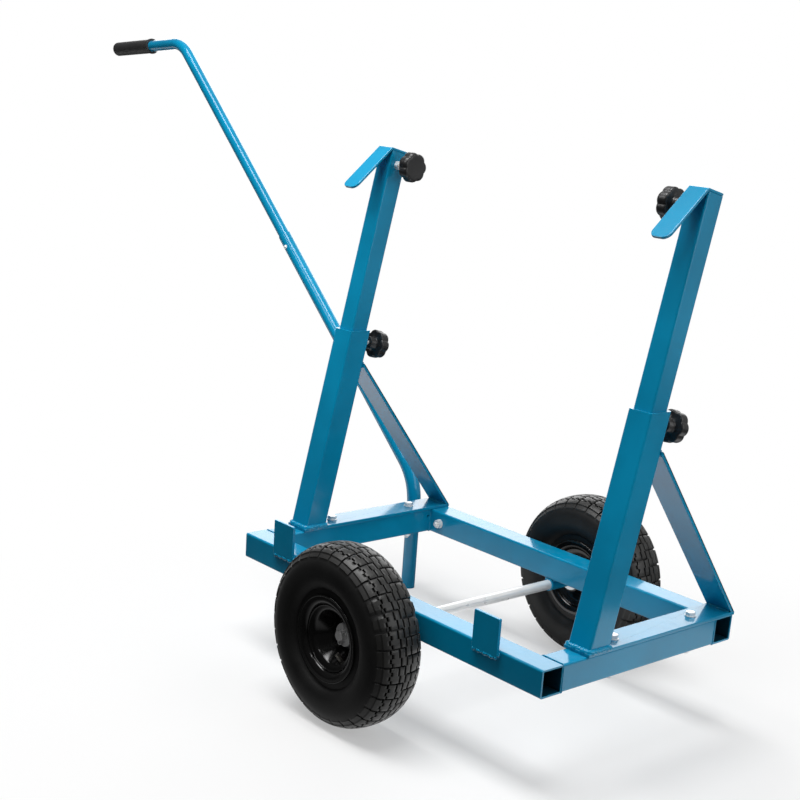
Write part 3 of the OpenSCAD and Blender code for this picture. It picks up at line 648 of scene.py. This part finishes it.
def outline_of(node, axes):
    """Corners of a prism's end outline, read from its solid and put in order round their middle."""
    mesh = frame["nodes"][node].data
    points = np.empty(len(mesh.vertices) * 3, np.float32)
    mesh.vertices.foreach_get("co", points)
    flat = np.unique(np.round(points.reshape(-1, 3)[:, axes] / MM, 2), axis=0)
    middle = flat - flat.mean(0)
    return flat[np.argsort(np.arctan2(middle[:, 1], middle[:, 0]))]


# Pieces


def tyre_grid(place, radius, half_w, flange, look):
    """Tyre as a closed section carried round the axle. The section is a superellipse over the tread,
    r = mid + (R - mid) (1 - (|z| / w)^(2 / power))^(power / 2), the same curve by angle down both sides, and
    an arc inside. A height h(z, p), with p the place in a block's pitch, moves every point along the normal:
    thin grooves round the crown that step sideways in each pitch, one groove across each block, wider gaps
    between the shoulder lugs, a step down their ends, and the sunk side. The two halves of the tread are
    half a pitch apart."""
    centre, inner, outer = 1.2, (8.8, 11.4), (22.2, 25.0)
    groove, groove_edge, sipe, sipe_edge, lug_gap, rib = 1.0, 1.5, 0.037, 0.055, 0.07, 2.2
    lug_from, worn_to, lug_highlight, edge_drop = 26.0, 33.4, 0.85, 0.5
    lug_steps, lug_share = [33.2, 34.6, 39.4, 40.6], [0, 0.55, 0.55, 1.0]
    wall, mid = 10.0, (flange + radius) / 2 - 1.5
    wide = half_w + look.lug
    sag = np.radians(np.linspace(-44, 25, 15))
    below = np.where(sag < 0, mid - flange, radius - mid)
    drop = below * np.sign(sag) * np.abs(np.sin(sag)) ** look.power
    side = np.stack([mid + drop, wide * np.cos(sag) ** look.power], -1)
    bands = np.array([centre, *inner, *outer])[:, None] + np.array([-1.9, -1.2, -0.8, 0.8, 1.2, 1.9])
    rest = np.array([5.2, 15.2, 18.5, 29.0, 31.5, 33.2, 33.6, 34.6, 35.2, 39.4, 40.0, 40.6])
    half = np.unique(np.abs(np.concatenate([bands.ravel(), rest])))
    crown = np.concatenate([half[::-1], -half])
    share = np.abs(crown) / wide
    over = np.stack([mid + (radius - mid) * (1 - share ** (2 / look.power)) ** (look.power / 2), crown], -1)
    bead = np.array([[52.0, 24.8], [52.0, 29.0], [53.3, 31.8], [56.0, 33.1], [flange + 2.5, 33.3]])
    turn = np.radians(np.linspace(-48, 228, 11))
    lining = np.stack([mid + (radius - mid - wall) * np.sin(turn), (half_w - 0.7 * wall) * np.cos(turn)], -1)
    up, mirror = np.concatenate([bead, side]), np.array([1, -1])
    section = np.concatenate([up, over, (up * mirror)[::-1], lining * mirror])
    along = unit(np.roll(section, -1, 0) - np.roll(section, 1, 0))
    out = np.stack([along[:, 1], -along[:, 0]], -1)
    out = out * np.sign(np.sum(out * (section - [mid, 0]), -1, keepdims=True))
    start, end = len(up), len(up) + len(over)
    z, row = section[:, 1], np.arange(len(section))
    tread, flank = (row >= start) & (row < end), (row >= len(bead)) & (row < end + len(side))

    pitch = np.array([0.005, 0.03, 0.044, 0.07, 0.245, 0.255, 0.43, 0.456, 0.47, 0.495])
    step = (np.arange(2 * look.blocks)[:, None] / 2 + pitch).ravel()
    phase = (step[:, None] + 0.5 * (z < 0)) % 1
    cross = np.minimum(phase, 1 - phase)
    second, quarter = phase >= 0.5, np.floor(phase * 4) % 2 > 0.5
    a = np.abs(z)

    def band(middle, width):
        """Points of the tread in a groove round the crown."""
        return np.abs(a - middle) < width

    def grooves(width):
        """Points in the grooves round the crown, each of which has two places in a pitch."""
        swap = np.where(step[:, None] % 1 >= 0.5, np.abs(z - centre) < width, np.abs(z + centre) < width)
        near = np.where(second, band(inner[1], width), band(inner[0], width))
        far = np.where(quarter, band(outer[1], width), band(outer[0], width))
        return swap | near | far

    lugs = a > lug_from
    deep = (grooves(groove) | ((cross < sipe) & (a > rib)) | (lugs & (cross < lug_gap))) & tread
    edge = (grooves(groove_edge) | ((cross < sipe_edge) & (a > rib))) & tread
    fall = np.interp(a, lug_steps, lug_share) * look.lug
    fall = np.where(tread, fall, np.where(flank, look.lug, 0.0))
    floor = np.where(lugs, look.lug, look.depth)
    h = -np.maximum(np.maximum(fall, edge_drop * edge), floor * deep)
    # Values of the tyre's finish: 0 paints shade into the crown grooves, 0.5 is the plain side, 1 is the tread
    # tops' lighter grey (worn rubber and painted highlight), and the lug ends get a painted highlight at 0.85.
    worn_and_lit = np.where(a < worn_to, 1.0, lug_highlight)
    wear = np.where(deep & ~lugs, 0.0, np.where(tread & ~deep, worn_and_lit, 0.5))
    rz = section + h[..., None] * out
    f = (step / look.blocks * TURN)[:, None]
    points = np.stack([rz[..., 0] * np.cos(f), rz[..., 0] * np.sin(f), rz[..., 1]], -1)
    return place(points), wear


def rim_profiles():
    """Closed sections of a pressed rim: two halves that meet on the hub, each a cone that runs out over a
    crease into a ring, a bead seat and, by a quarter circle, a flange, and the rolled lips. A corner b of the
    sheet lies on the open side at b + t (m + n) / (1 + m n), with m and n the unit normals beside it."""
    edge, half_w, t, bend, seat = 62.5, 36.0, 2.5, 10.0, np.array([51.0, 26.0])
    crease, meet_r, meet_z, hub_r = np.array([42.0, 23.5]), 24.0, -8.0, 20.0
    lip_r, lip_at = 1.6, np.array([62.6, 35.0])
    cuts = [0, 2.0, 4.0, 1.5, 0]
    quarter = np.radians(np.linspace(90, 0, 9))
    flip = np.array([1, -1])

    def flange(r):
        """Quarter circle between flange and seat."""
        return np.stack([seat[0] - t + bend - r * np.cos(quarter), half_w - bend + r * np.sin(quarter)], -1)

    def open_side(plane):
        """Flange, seat, ring and cone on the side that is seen."""
        path = np.array([[seat[0], half_w], seat, crease, [meet_r, plane], [hub_r, plane]])
        ahead = unit(np.diff(path, axis=0))
        square = np.stack([ahead[:, 1], -ahead[:, 0]], -1)
        m, n = square[:-1], square[1:]
        corners = path[1:-1] + t * (m + n) / (1 + np.sum(m * n, -1, keepdims=True))
        corners = np.concatenate([[[seat[0] - t, half_w]], corners, [[hub_r, plane + t]]])
        cone = rounded(corners, cuts, 6, closed=False)[1:]
        return np.concatenate([[[edge, half_w]], flange(bend), cone])

    tyre_side = np.concatenate([[[edge, half_w - t]], flange(bend - t), [seat, crease]])
    rear_side = (tyre_side * flip)[::-1]
    wall = [tyre_side, [[meet_r, meet_z]], rear_side, open_side(-meet_z) * flip, open_side(meet_z)[::-1]]
    turn = np.linspace(0, TURN, 12, endpoint=False)
    roll = lip_r * np.stack([np.cos(turn), np.sin(turn)], -1)
    return [np.concatenate(wall), lip_at * flip + roll, lip_at + roll]


def knob_grid(place):
    """Star knob: rows of radius k (R - w V(f)) - inset. Seven lobes of radius q round a circle of radius e
    make the edge R - V(f) = e cos f + (q^2 - e^2 sin^2 f)^0.5 with f taken from the middle of its lobe."""
    lobes, outer, q = 7, 23.0, 11.2
    e = outer - q
    f = np.linspace(0, TURN, 112, endpoint=False)
    off = (f + math.pi / lobes) % (TURN / lobes) - math.pi / lobes
    valley = outer - (e * np.cos(off) + np.sqrt(q**2 - (e * np.sin(off)) ** 2))
    rows = np.array([
        # k, w, inset, z
        [0.00, 0, 0.0, 0.0], [0.40, 0, 0.0, 0.0], [0.43, 0, 0.0, 0.6], [0.44, 0, 0.0, 9.5],
        [0.50, 0.1, 0.0, 11.5], [0.72, 0.6, 0.0, 12.0], [1.00, 1, 2.6, 12.0], [1.00, 1, 1.8, 12.1],
        [1.00, 1, 0.5, 12.8], [1.00, 1, 0.0, 14.0], [1.00, 1, 0.0, 15.0], [1.00, 1, 0.0, 23.0],
        [1.00, 1, 0.0, 24.0], [1.00, 1, 0.5, 26.2], [1.00, 1, 1.8, 28.0], [1.00, 1, 3.4, 28.8],
        [0.80, 0.7, 1.2, 28.9], [0.60, 0.3, 0.0, 28.7], [0.30, 0, 0.0, 28.5], [0.00, 0, 0.0, 28.4],
    ])
    k, w, inset, z = rows.T[:, :, None]
    r = np.maximum(k * (outer - w * valley) - inset, 0)
    return place(np.stack([r * np.cos(f), r * np.sin(f), KNOB_BASE + z + 0 * f], -1))


def hook_strip(place):
    """Hook: a strip over the tube's end, round its front edge and down as a limb whose end is rounded."""
    t, half, length, lean, r = 4.0, 16.0, 93.0, math.radians(233.5), 11.0
    bend = np.radians(np.linspace(90, 143.5, 8))
    corner = np.array([-half, 0.2])
    flat = np.stack([np.array([15.0, 14.6, 13.5, 5, -5, -15]), np.full(6, 0.2 + t / 2)], -1)
    turn = corner + t / 2 * np.stack([np.cos(bend), np.sin(bend)], -1)
    far = length - r + r * np.sin(np.linspace(0, math.pi / 2, 10))
    reach = np.concatenate([np.linspace(6, length - r, 8)[:-1], far[:-1], [length - 0.15]])
    limb = turn[-1] + reach[:, None] * np.array([math.cos(lean), math.sin(lean)])
    path = np.concatenate([flat, turn, limb])
    half_w = np.full(len(path), half)
    half_w[-len(far):] = half - r + np.sqrt(np.clip(r**2 - (reach[-len(far):] - (length - r)) ** 2, 0, None))
    half_t = np.full(len(path), t / 2)
    half_t[:2] = [0.9, 1.6]
    half_w[:2] = [half - 1.1, half - 0.4]
    half_t[-2:] = [1.7, 1.1]
    return strip(path, half_w, half_t, 1.0, place)


class CartOperator(bpy.types.Operator):
    """Shared options of the steps that build the cart."""

    bl_options = {"REGISTER", "UNDO"}


class CART_OT_solids(CartOperator):
    """Gives every solid of the frame the finish of its slot"""

    bl_idname = "cart.solids"
    bl_label = "Finish solids"

    def execute(self, context):
        for part in frame["record"]["subparts"]:
            mesh = frame["nodes"][part["node"]].data
            mesh.materials.clear()
            mesh.materials.append(FINISHES[part["material_slot"]]())
        return {"FINISHED"}


class CART_OT_tyres(CartOperator):
    """Builds both tyres with their grooved tread"""

    bl_idname = "cart.tyres"
    bl_label = "Tyres"

    def execute(self, context):
        look = settings("tyre")
        for name, end in ENDS:
            low, high = low_high(name + "_tyre")
            radius, half_w = (high[2] - low[2]) / 2, (high[1] - low[1]) / 2
            points, wear = tyre_grid(wheel_place(name, end), radius, half_w, TYRE_SEAT, look)
            shape = Shape().grid(points, loop=True)
            shape.piece(name + "_tyre_tread", "tyre", name + "_wheel", [name + "_tyre"], 45, wear.ravel())
        return {"FINISHED"}


class CART_OT_rims(CartOperator):
    """Builds both pressed rims with rounded edges"""

    bl_idname = "cart.rims"
    bl_label = "Rims"

    def execute(self, context):
        for name, end in ENDS:
            shape = Shape()
            for profile in rim_profiles():
                shape.grid(turned(profile, wheel_place(name, end), 112), loop=True)
            shape.piece(name + "_rim_pressed", "black_enamel", name + "_wheel", [name + "_rim"], 60)
        return {"FINISHED"}


class CART_OT_knobs(CartOperator):
    """Builds the four star knobs and their threaded studs"""

    bl_idname = "cart.knobs"
    bl_label = "Knobs"

    def execute(self, context):
        for name, _ in SIDES:
            for part, place in (("_post", post_face(name)), ("_mast", mast_face(name))):
                knob = name + part + "_knob"
                stud = name + part + "_stud"
                star = Shape().grid(knob_grid(place))
                star.piece(knob + "_star", "knob_plastic", knob, [knob], 50)
                rod = Shape().grid(thread(place, STUD_FROM[part], STUD_TO), caps=True)
                rod.piece(stud + "_thread", "zinc", knob, [stud], 30)
        return {"FINISHED"}


class CART_OT_fasteners(CartOperator):
    """Builds bolts, nuts and washers with chamfers and threads"""

    bl_idname = "cart.fasteners"
    bl_label = "Fasteners"

    def bolt(self, shape, place, length):
        """Head above the place's origin, a plain shank and a threaded end below it."""
        top, plain = 0.5, BOLT_THREAD - length
        shank = [[0, top], [BOLT_D / 2, top], [BOLT_D / 2, plain], [0, plain]]
        shape.grid(hexagon(place, HEAD_TALL, both=False))
        shape.grid(turned(shank, place, 24))
        shape.grid(thread(place, -length, plain + top), caps=True)

    def nut(self, shape, place, tall=NUT_TALL):
        """Nut above the place's origin."""
        shape.grid(hexagon(place, tall, NUT_BORE), loop=True)

    def washer(self, shape, place):
        """Washer above the place's origin."""
        profile = rounded(rectangle((WASHER_BORE, 0), (WASHER_R, WASHER_T)), 0.3, 2)
        shape.grid(turned(profile, place, 40), loop=True)

    def execute(self, context):
        bolts, nuts, washers = Shape(), Shape(), Shape()
        low, high = low_high("base_washers")
        length = high[2] - low_high("base_bolts")[0][2]
        for x in (low[0] + WASHER_R, high[0] - WASHER_R):
            for y in (low[1] + WASHER_R, high[1] - WASHER_R):
                self.bolt(bolts, Place([x, y, high[2]]), length)
                self.nut(nuts, Place([x, y, low[2] - NUT_TALL]))
                for z in (low[2], high[2] - WASHER_T):
                    self.washer(washers, Place([x, y, z]))
        bolts.piece("base_bolt_set", "zinc", "frame", ["base_bolts"], 30)
        nuts.piece("base_nut_set", "zinc", "frame", ["base_nuts"], 30)
        washers.piece("base_washer_set", "zinc", "frame", ["base_washers"], 30)
        bolt, nut, washers = Shape(), Shape(), Shape()
        low, high = low_high("stub_washers")
        x, z = (low[0] + high[0]) / 2, (low[2] + high[2]) / 2
        self.bolt(bolt, Place([x, high[1], z], Y), high[1] - low_high("stub_bolt")[0][1])
        self.nut(nut, Place([x, low[1] - NUT_TALL, z], Y))
        for y in (low[1], high[1] - WASHER_T):
            self.washer(washers, Place([x, y, z], Y))
        bolt.piece("stub_bolt_hex", "zinc", "frame", ["stub_bolt"], 30)
        nut.piece("stub_nut_hex", "zinc", "frame", ["stub_nut"], 30)
        washers.piece("stub_washer_pair", "zinc", "frame", ["stub_washers"], 30)
        posts = Shape()
        for name, _ in SIDES:
            self.nut(posts, post_face(name), CLAMP_NUT_TALL)
            mast = Shape()
            self.nut(mast, mast_face(name), CLAMP_NUT_TALL)
            mast.piece(name + "_mast_nut_hex", "zinc", name + "_mast", [name + "_mast_nut"], 30)
        posts.piece("post_nut_pair", "zinc", "frame", ["post_nuts"], 30)
        return {"FINISHED"}


class CART_OT_plates(CartOperator):
    """Builds stop tabs, base plates and braces with eased edges"""

    bl_idname = "cart.plates"
    bl_label = "Plates"

    def plate(self, name, node, outline, depth, place):
        """Plate with eased edges that stands for a node."""
        shape = Shape().grid(slab(outline, depth, place), caps=True)
        shape.piece(name, "blue_coat", "frame", [node], 50)

    def execute(self, context):
        for name, _ in SIDES:
            stop, base, brace = name + "_stop", name + "_base_plate", name + "_brace"
            low, high = low_high(stop)
            size = high - low
            outline = rounded(rectangle((0, 0), size[[0, 2]]), [0.8, 0.8, 2.0, 2.0])
            self.plate(stop + "_tab", stop, outline, size[1], Place([low[0], high[1], low[2]], -Y))
            low, high = low_high(base)
            size = high - low
            outline = rounded(rectangle((0, 0), size), 1.2)
            self.plate(name + "_base_strip", base, outline, size[2], Place(low))
            low, high = low_high(brace)
            outline = rounded(outline_of(brace, [1, 2]), 0.5, 2)
            self.plate(brace + "_strip", brace, outline, high[0] - low[0], Place([low[0], 0, 0], X, Y))
        return {"FINISHED"}


class CART_OT_hooks(CartOperator):
    """Builds both hooks with rounded ends and their small welds"""

    bl_idname = "cart.hooks"
    bl_label = "Hooks"

    def execute(self, context):
        reach, back, rise, radius = 9.0, 15.6, 1.2, 1.7
        for name, side in SIDES:
            place = mast_end(name, side)
            shape = Shape().grid(hook_strip(place), caps=True)
            shape.piece(name + "_hook_strip", "blue_coat", name + "_hook", [name + "_hook"], 50)
            path = place([[-reach, back, rise], [reach, back, rise]])
            weld = Shape().grid(bead(path, radius, seed=side), caps=True)
            weld.piece(name + "_hook_weld", "blue_coat", name + "_hook", (), 60)
        return {"FINISHED"}


class CART_OT_welds(CartOperator):
    """Builds the weld beads of the frame"""

    bl_idname = "cart.welds"
    bl_label = "Welds"

    def execute(self, context):
        look = settings("welds")
        shape = Shape()

        def line(a, b, share, seed):
            """Straight bead between two points, with a share of a seam's radius."""
            shape.grid(bead([a, b], share * look.seam, seed=seed), caps=True)

        for name, side in SIDES:
            # Foot of an upright
            low, high = low_high(name + "_post")
            top = low_high(name + "_base_plate")[1][2]
            deep = POST_TUBE / math.cos(POST_LEAN)
            foot = [[x, y, top] for x, y in rectangle(low, (high[0], low[1] + deep))]
            shape.grid(bead(rounded(foot, 4.0), look.foot, True, pitch=5.5, seed=side), loop=True)
            # Corners of its brace
            low, high = low_high(name + "_brace")
            inset = 3
            for y, z in outline_of(name + "_brace", [1, 2]):
                line([low[0] + inset, y, z], [high[0] - inset, y, z], 0.9, y)
            # Edges of a stop tab
            low, high = low_high(name + "_stop")
            rail = low_high("front_rail")
            y, top, base = rail[0][1], rail[1][2], low[2]
            line([low[0], y - 3, base + 0.4], [high[0], y - 3, base + 0.4], 1.1, side)
            line([low[0], y, top - 0.6], [high[0], y, top - 0.6], 0.8, side + 1)
            for x in (low[0], high[0]):
                line([x, y - 1, base], [x, y - 1, top - 2], 1.0, x)
            # Ends of a side member
            low, high = low_high(name + "_side_member")
            for y in (low[1], high[1]):
                end = [[x, y, z] for x, z in rectangle(low[[0, 2]], high[[0, 2]])]
                shape.grid(bead(rounded(end, 3.0), 0.45 * look.seam, True, seed=y), loop=True)
        # Axle sleeves under the rails
        for name, end in ENDS:
            low, high = low_high(name + "_rail")
            middle, apart, inset, z = wheel_place(name, end).origin[0], 7.5, 2, low[2] - 0.6
            for x in (middle - apart, middle + apart):
                line([x, low[1] + inset, z], [x, high[1] - inset, z], 1.1, x)
        # Leg on the stub
        low, high = low_high("handle_stub")
        middle, apart, y = low[0] + 16, 7, high[1] - 5.6
        seed = low_high("handle_lower")[1][1] - 12.5
        for x in (middle - apart, middle + apart):
            line([x, y, low[2] + 3], [x, y, low[2] + 13], 1.2, x + seed)
        shape.piece("frame_welds", "blue_coat", "frame", (), 70)
        return {"FINISHED"}


class CART_OT_grip(CartOperator):
    """Builds the rubber grip with its rounded end and collar"""

    bl_idname = "cart.grip"
    bl_label = "Grip"

    def execute(self, context):
        low, high = low_high("handle_grip")
        droop, collar, tip = math.radians(4.5), 15.5, 9.0
        along = np.array([-math.cos(droop), 0, -math.sin(droop)])
        length = (high[0] - low[0] - (collar + tip) * math.sin(droop)) / math.cos(droop)
        middle = (low[1] + high[1]) / 2
        start = np.array([high[0] - collar * math.sin(droop), middle, high[2] - collar * math.cos(droop)])
        profile = [[0, 0.2], [13.2, 0.2], [15.4, 0.2], [15.4, 4.4], [14, 6.2], [14, length], [0, length]]
        profile = rounded(profile, [0, 0.5, 1.4, 1.4, 1.5, 8.0, 0], 6, closed=False)
        shape = Shape().grid(turned(profile, Place(start, along, Y), 64))
        shape.piece("grip_sleeve", "grip_rubber", "frame", ["handle_grip"], 60)
        return {"FINISHED"}


class CART_OT_stub(CartOperator):
    """Builds the stub that carries the handle, with its free end cut on a slant"""

    bl_idname = "cart.stub"
    bl_label = "Stub"

    def execute(self, context):
        low, high = low_high("handle_stub")
        tall, free = high[2] - low[2], low_high("rear_rail")[0][0] - low[0]
        plain, fall, ease, kink = 15, 0.42, 0.8, 2
        total = high[0] - low[0]
        bend = total - (free - plain)
        along = np.array([0, ease, bend - kink, bend, bend + kink, total - ease, total])
        height = tall - fall * np.clip(along - bend, 0, None)
        half_w = np.full(len(along), tall / 2)
        half_w[[0, -1]] -= ease
        half_t = height / 2 - ease * np.isin(along, along[[0, -1]])
        path = np.stack([along, height / 2], -1)
        place = Place([high[0], low[1] + tall / 2, low[2]], Z, Y)
        shape = Shape().grid(strip(path, half_w, half_t, 2.5, place), caps=True)
        shape.piece("handle_stub_slant", "blue_coat", "frame", ["handle_stub"], 40)
        return {"FINISHED"}


class CART_OT_stage(CartOperator):
    """Sets up floor, surroundings, light and camera"""

    bl_idname = "cart.stage"
    bl_label = "Stage"

    def lamp(self, name, power):
        """Soft panel of light."""
        size, at, aim = (np.array(part) for part in LAMPS[name])
        data = bpy.data.lights.new(name, "AREA")
        data.shape = "RECTANGLE"
        data.size, data.size_y = size
        data.energy = power
        lamp = bpy.data.objects.new(name, data)
        lamp.matrix_world = matrix(*Place(at, at - aim, X + 0.01 * Y).axes, at)
        lamp.visible_camera = False
        bpy.context.scene.collection.objects.link(lamp)

    def floor(self, scene, look):
        """White floor that keeps the shadow near the cart. In gloss it glows as a painted reflection: near black
        before the cart, bright under it and by its +X end, dim behind and brighter far behind. As bounce it is
        near black before the cart, a painted shade on the cart's faces that look forward.
        """
        half = look.floor / 2
        mesh = bpy.data.meshes.new("floor")
        mesh.from_pydata([(x, y, 0) for x, y in rectangle((-half, -half), (half, half))], [], [(0, 1, 2, 3)])
        floor = bpy.data.objects.new("floor", mesh)
        scene.collection.objects.link(floor)
        material = bpy.data.materials.new("floor")
        material.use_nodes = True
        nodes = Nodes(material.node_tree)
        low, high = low_high("front_rail")
        middle, beside = ((low[0] + high[0]) / 2 * MM, 0.0, 0.0), (high[0] * MM + 0.2, 0.3, 0.0)
        across = nodes.axis(nodes.place(), "Y")
        front = nodes.ramp(across, -0.5, 0.0)

        def matt(grey):
            """Matt floor of one grey."""
            return nodes.add("ShaderNodeBsdfDiffuse", {"Color": (grey, grey, grey, 1)})

        def glow(grey):
            """Even floor of one grey, without shade."""
            return nodes.add("ShaderNodeEmission", {"Color": (grey, grey, grey, 1), "Strength": 1.0})

        shade = nodes.ramp(nodes.distance(middle), 0.35, 0.95, 0.4, 1.0)
        seen = nodes.either(shade, matt(0.8), glow(1.0))
        # Painted shade: as bounce the floor is near black before the cart, shading the cart's faces that look
        # forward.
        bounce = nodes.either(front, matt(0.06), matt(0.6))
        # Painted reflection: in gloss the floor glows, near black before the cart, bright at 1.5 under it and by
        # its +X end, dim behind and brighter far behind.
        far = nodes.either(nodes.ramp(across, 1.4, 3.2), glow(0.1), glow(0.55))
        rear = nodes.ramp(across, 0.0, 0.25) * nodes.ramp(nodes.distance(beside), 0.22, 0.32)
        mirrored = nodes.either(front, glow(0.03), nodes.either(rear, glow(1.5), far))
        plain = nodes.either(nodes.ray("Is Camera Ray"), bounce, seen)
        surface = nodes.either(nodes.ray("Is Glossy Ray"), plain, mirrored)
        nodes.add("ShaderNodeOutputMaterial", {"Surface": surface})
        mesh.materials.append(material)

    def surroundings(self, scene, look):
        """White to the camera, darker before the cart than behind it in gloss, and even as light."""
        world = bpy.data.worlds.new("studio")
        scene.world = world
        world.use_nodes = True
        nodes = Nodes(world.node_tree)
        behind = nodes.axis(nodes.add("ShaderNodeTexCoord", out="Generated"), "Y")

        def sky(strength):
            """Even surroundings of one strength."""
            return nodes.add("ShaderNodeBackground", {"Color": (1, 1, 1, 1), "Strength": strength})

        mirrored = nodes.either(nodes.ramp(behind, -0.25, 0.35), sky(0.06), sky(0.5))
        plain = nodes.either(nodes.ray("Is Glossy Ray"), sky(look.ambient), mirrored)
        surface = nodes.either(nodes.ray("Is Camera Ray"), plain, sky(1.0))
        nodes.add("ShaderNodeOutputWorld", {"Surface": surface})

    def camera(self, scene, look):
        """Camera at the photo's angle."""
        sin_yaw, sin_pitch, sin_roll = np.sin(CAMERA_ANGLES)
        cos_yaw, cos_pitch, cos_roll = np.cos(CAMERA_ANGLES)
        ahead = np.array([sin_yaw * cos_pitch, cos_yaw * cos_pitch, -sin_pitch])
        level = np.array([cos_yaw, -sin_yaw, 0.0])
        above = np.cross(level, ahead)
        data = bpy.data.cameras.new("camera")
        data.lens = look.lens
        data.shift_x, data.shift_y = CAMERA_SHIFT
        camera = bpy.data.objects.new("camera", data)
        right, up = cos_roll * level + sin_roll * above, cos_roll * above - sin_roll * level
        camera.matrix_world = matrix(right, up, -ahead, CAMERA_AT)
        scene.collection.objects.link(camera)
        scene.camera = camera

    def execute(self, context):
        look = settings("stage")
        self.floor(context.scene, look)
        self.surroundings(context.scene, look)
        for name in LAMPS:
            self.lamp(name, getattr(look, name))
        self.camera(context.scene, look)
        context.scene.view_settings.view_transform = "Standard"
        return {"FINISHED"}


STEPS = (
    CART_OT_solids, CART_OT_tyres, CART_OT_rims, CART_OT_knobs, CART_OT_fasteners, CART_OT_plates,
    CART_OT_hooks, CART_OT_welds, CART_OT_grip, CART_OT_stub, CART_OT_stage,
)


class CART_PT_panel(bpy.types.Panel):
    """Buttons of the steps"""

    bl_idname = "CART_PT_panel"
    bl_label = "Drywall Cart"
    bl_space_type = "VIEW_3D"
    bl_region_type = "UI"
    bl_category = "Cart"

    def draw(self, context):
        for step in STEPS:
            self.layout.operator(step.bl_idname)


GROUPS = {"cart_paint": CartPaint, "cart_tyre": CartTyre, "cart_welds": CartWelds, "cart_stage": CartStage}
CLASSES = (*GROUPS.values(), *STEPS, CART_PT_panel)


def register():
    """Registers classes and settings."""
    for item in CLASSES:
        bpy.utils.register_class(item)
    for name, group in GROUPS.items():
        setattr(bpy.types.Scene, name, bpy.props.PointerProperty(type=group))


def unregister():
    """Takes settings and classes back."""
    for name in GROUPS:
        delattr(bpy.types.Scene, name)
    for item in reversed(CLASSES):
        bpy.utils.unregister_class(item)


def main():
    """Registers the classes and builds the cart step by step."""
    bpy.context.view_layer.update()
    register()
    for step in STEPS:
        group, name = step.bl_idname.split(".")
        getattr(getattr(bpy.ops, group), name)()


if __name__ == "__main__":
    main()
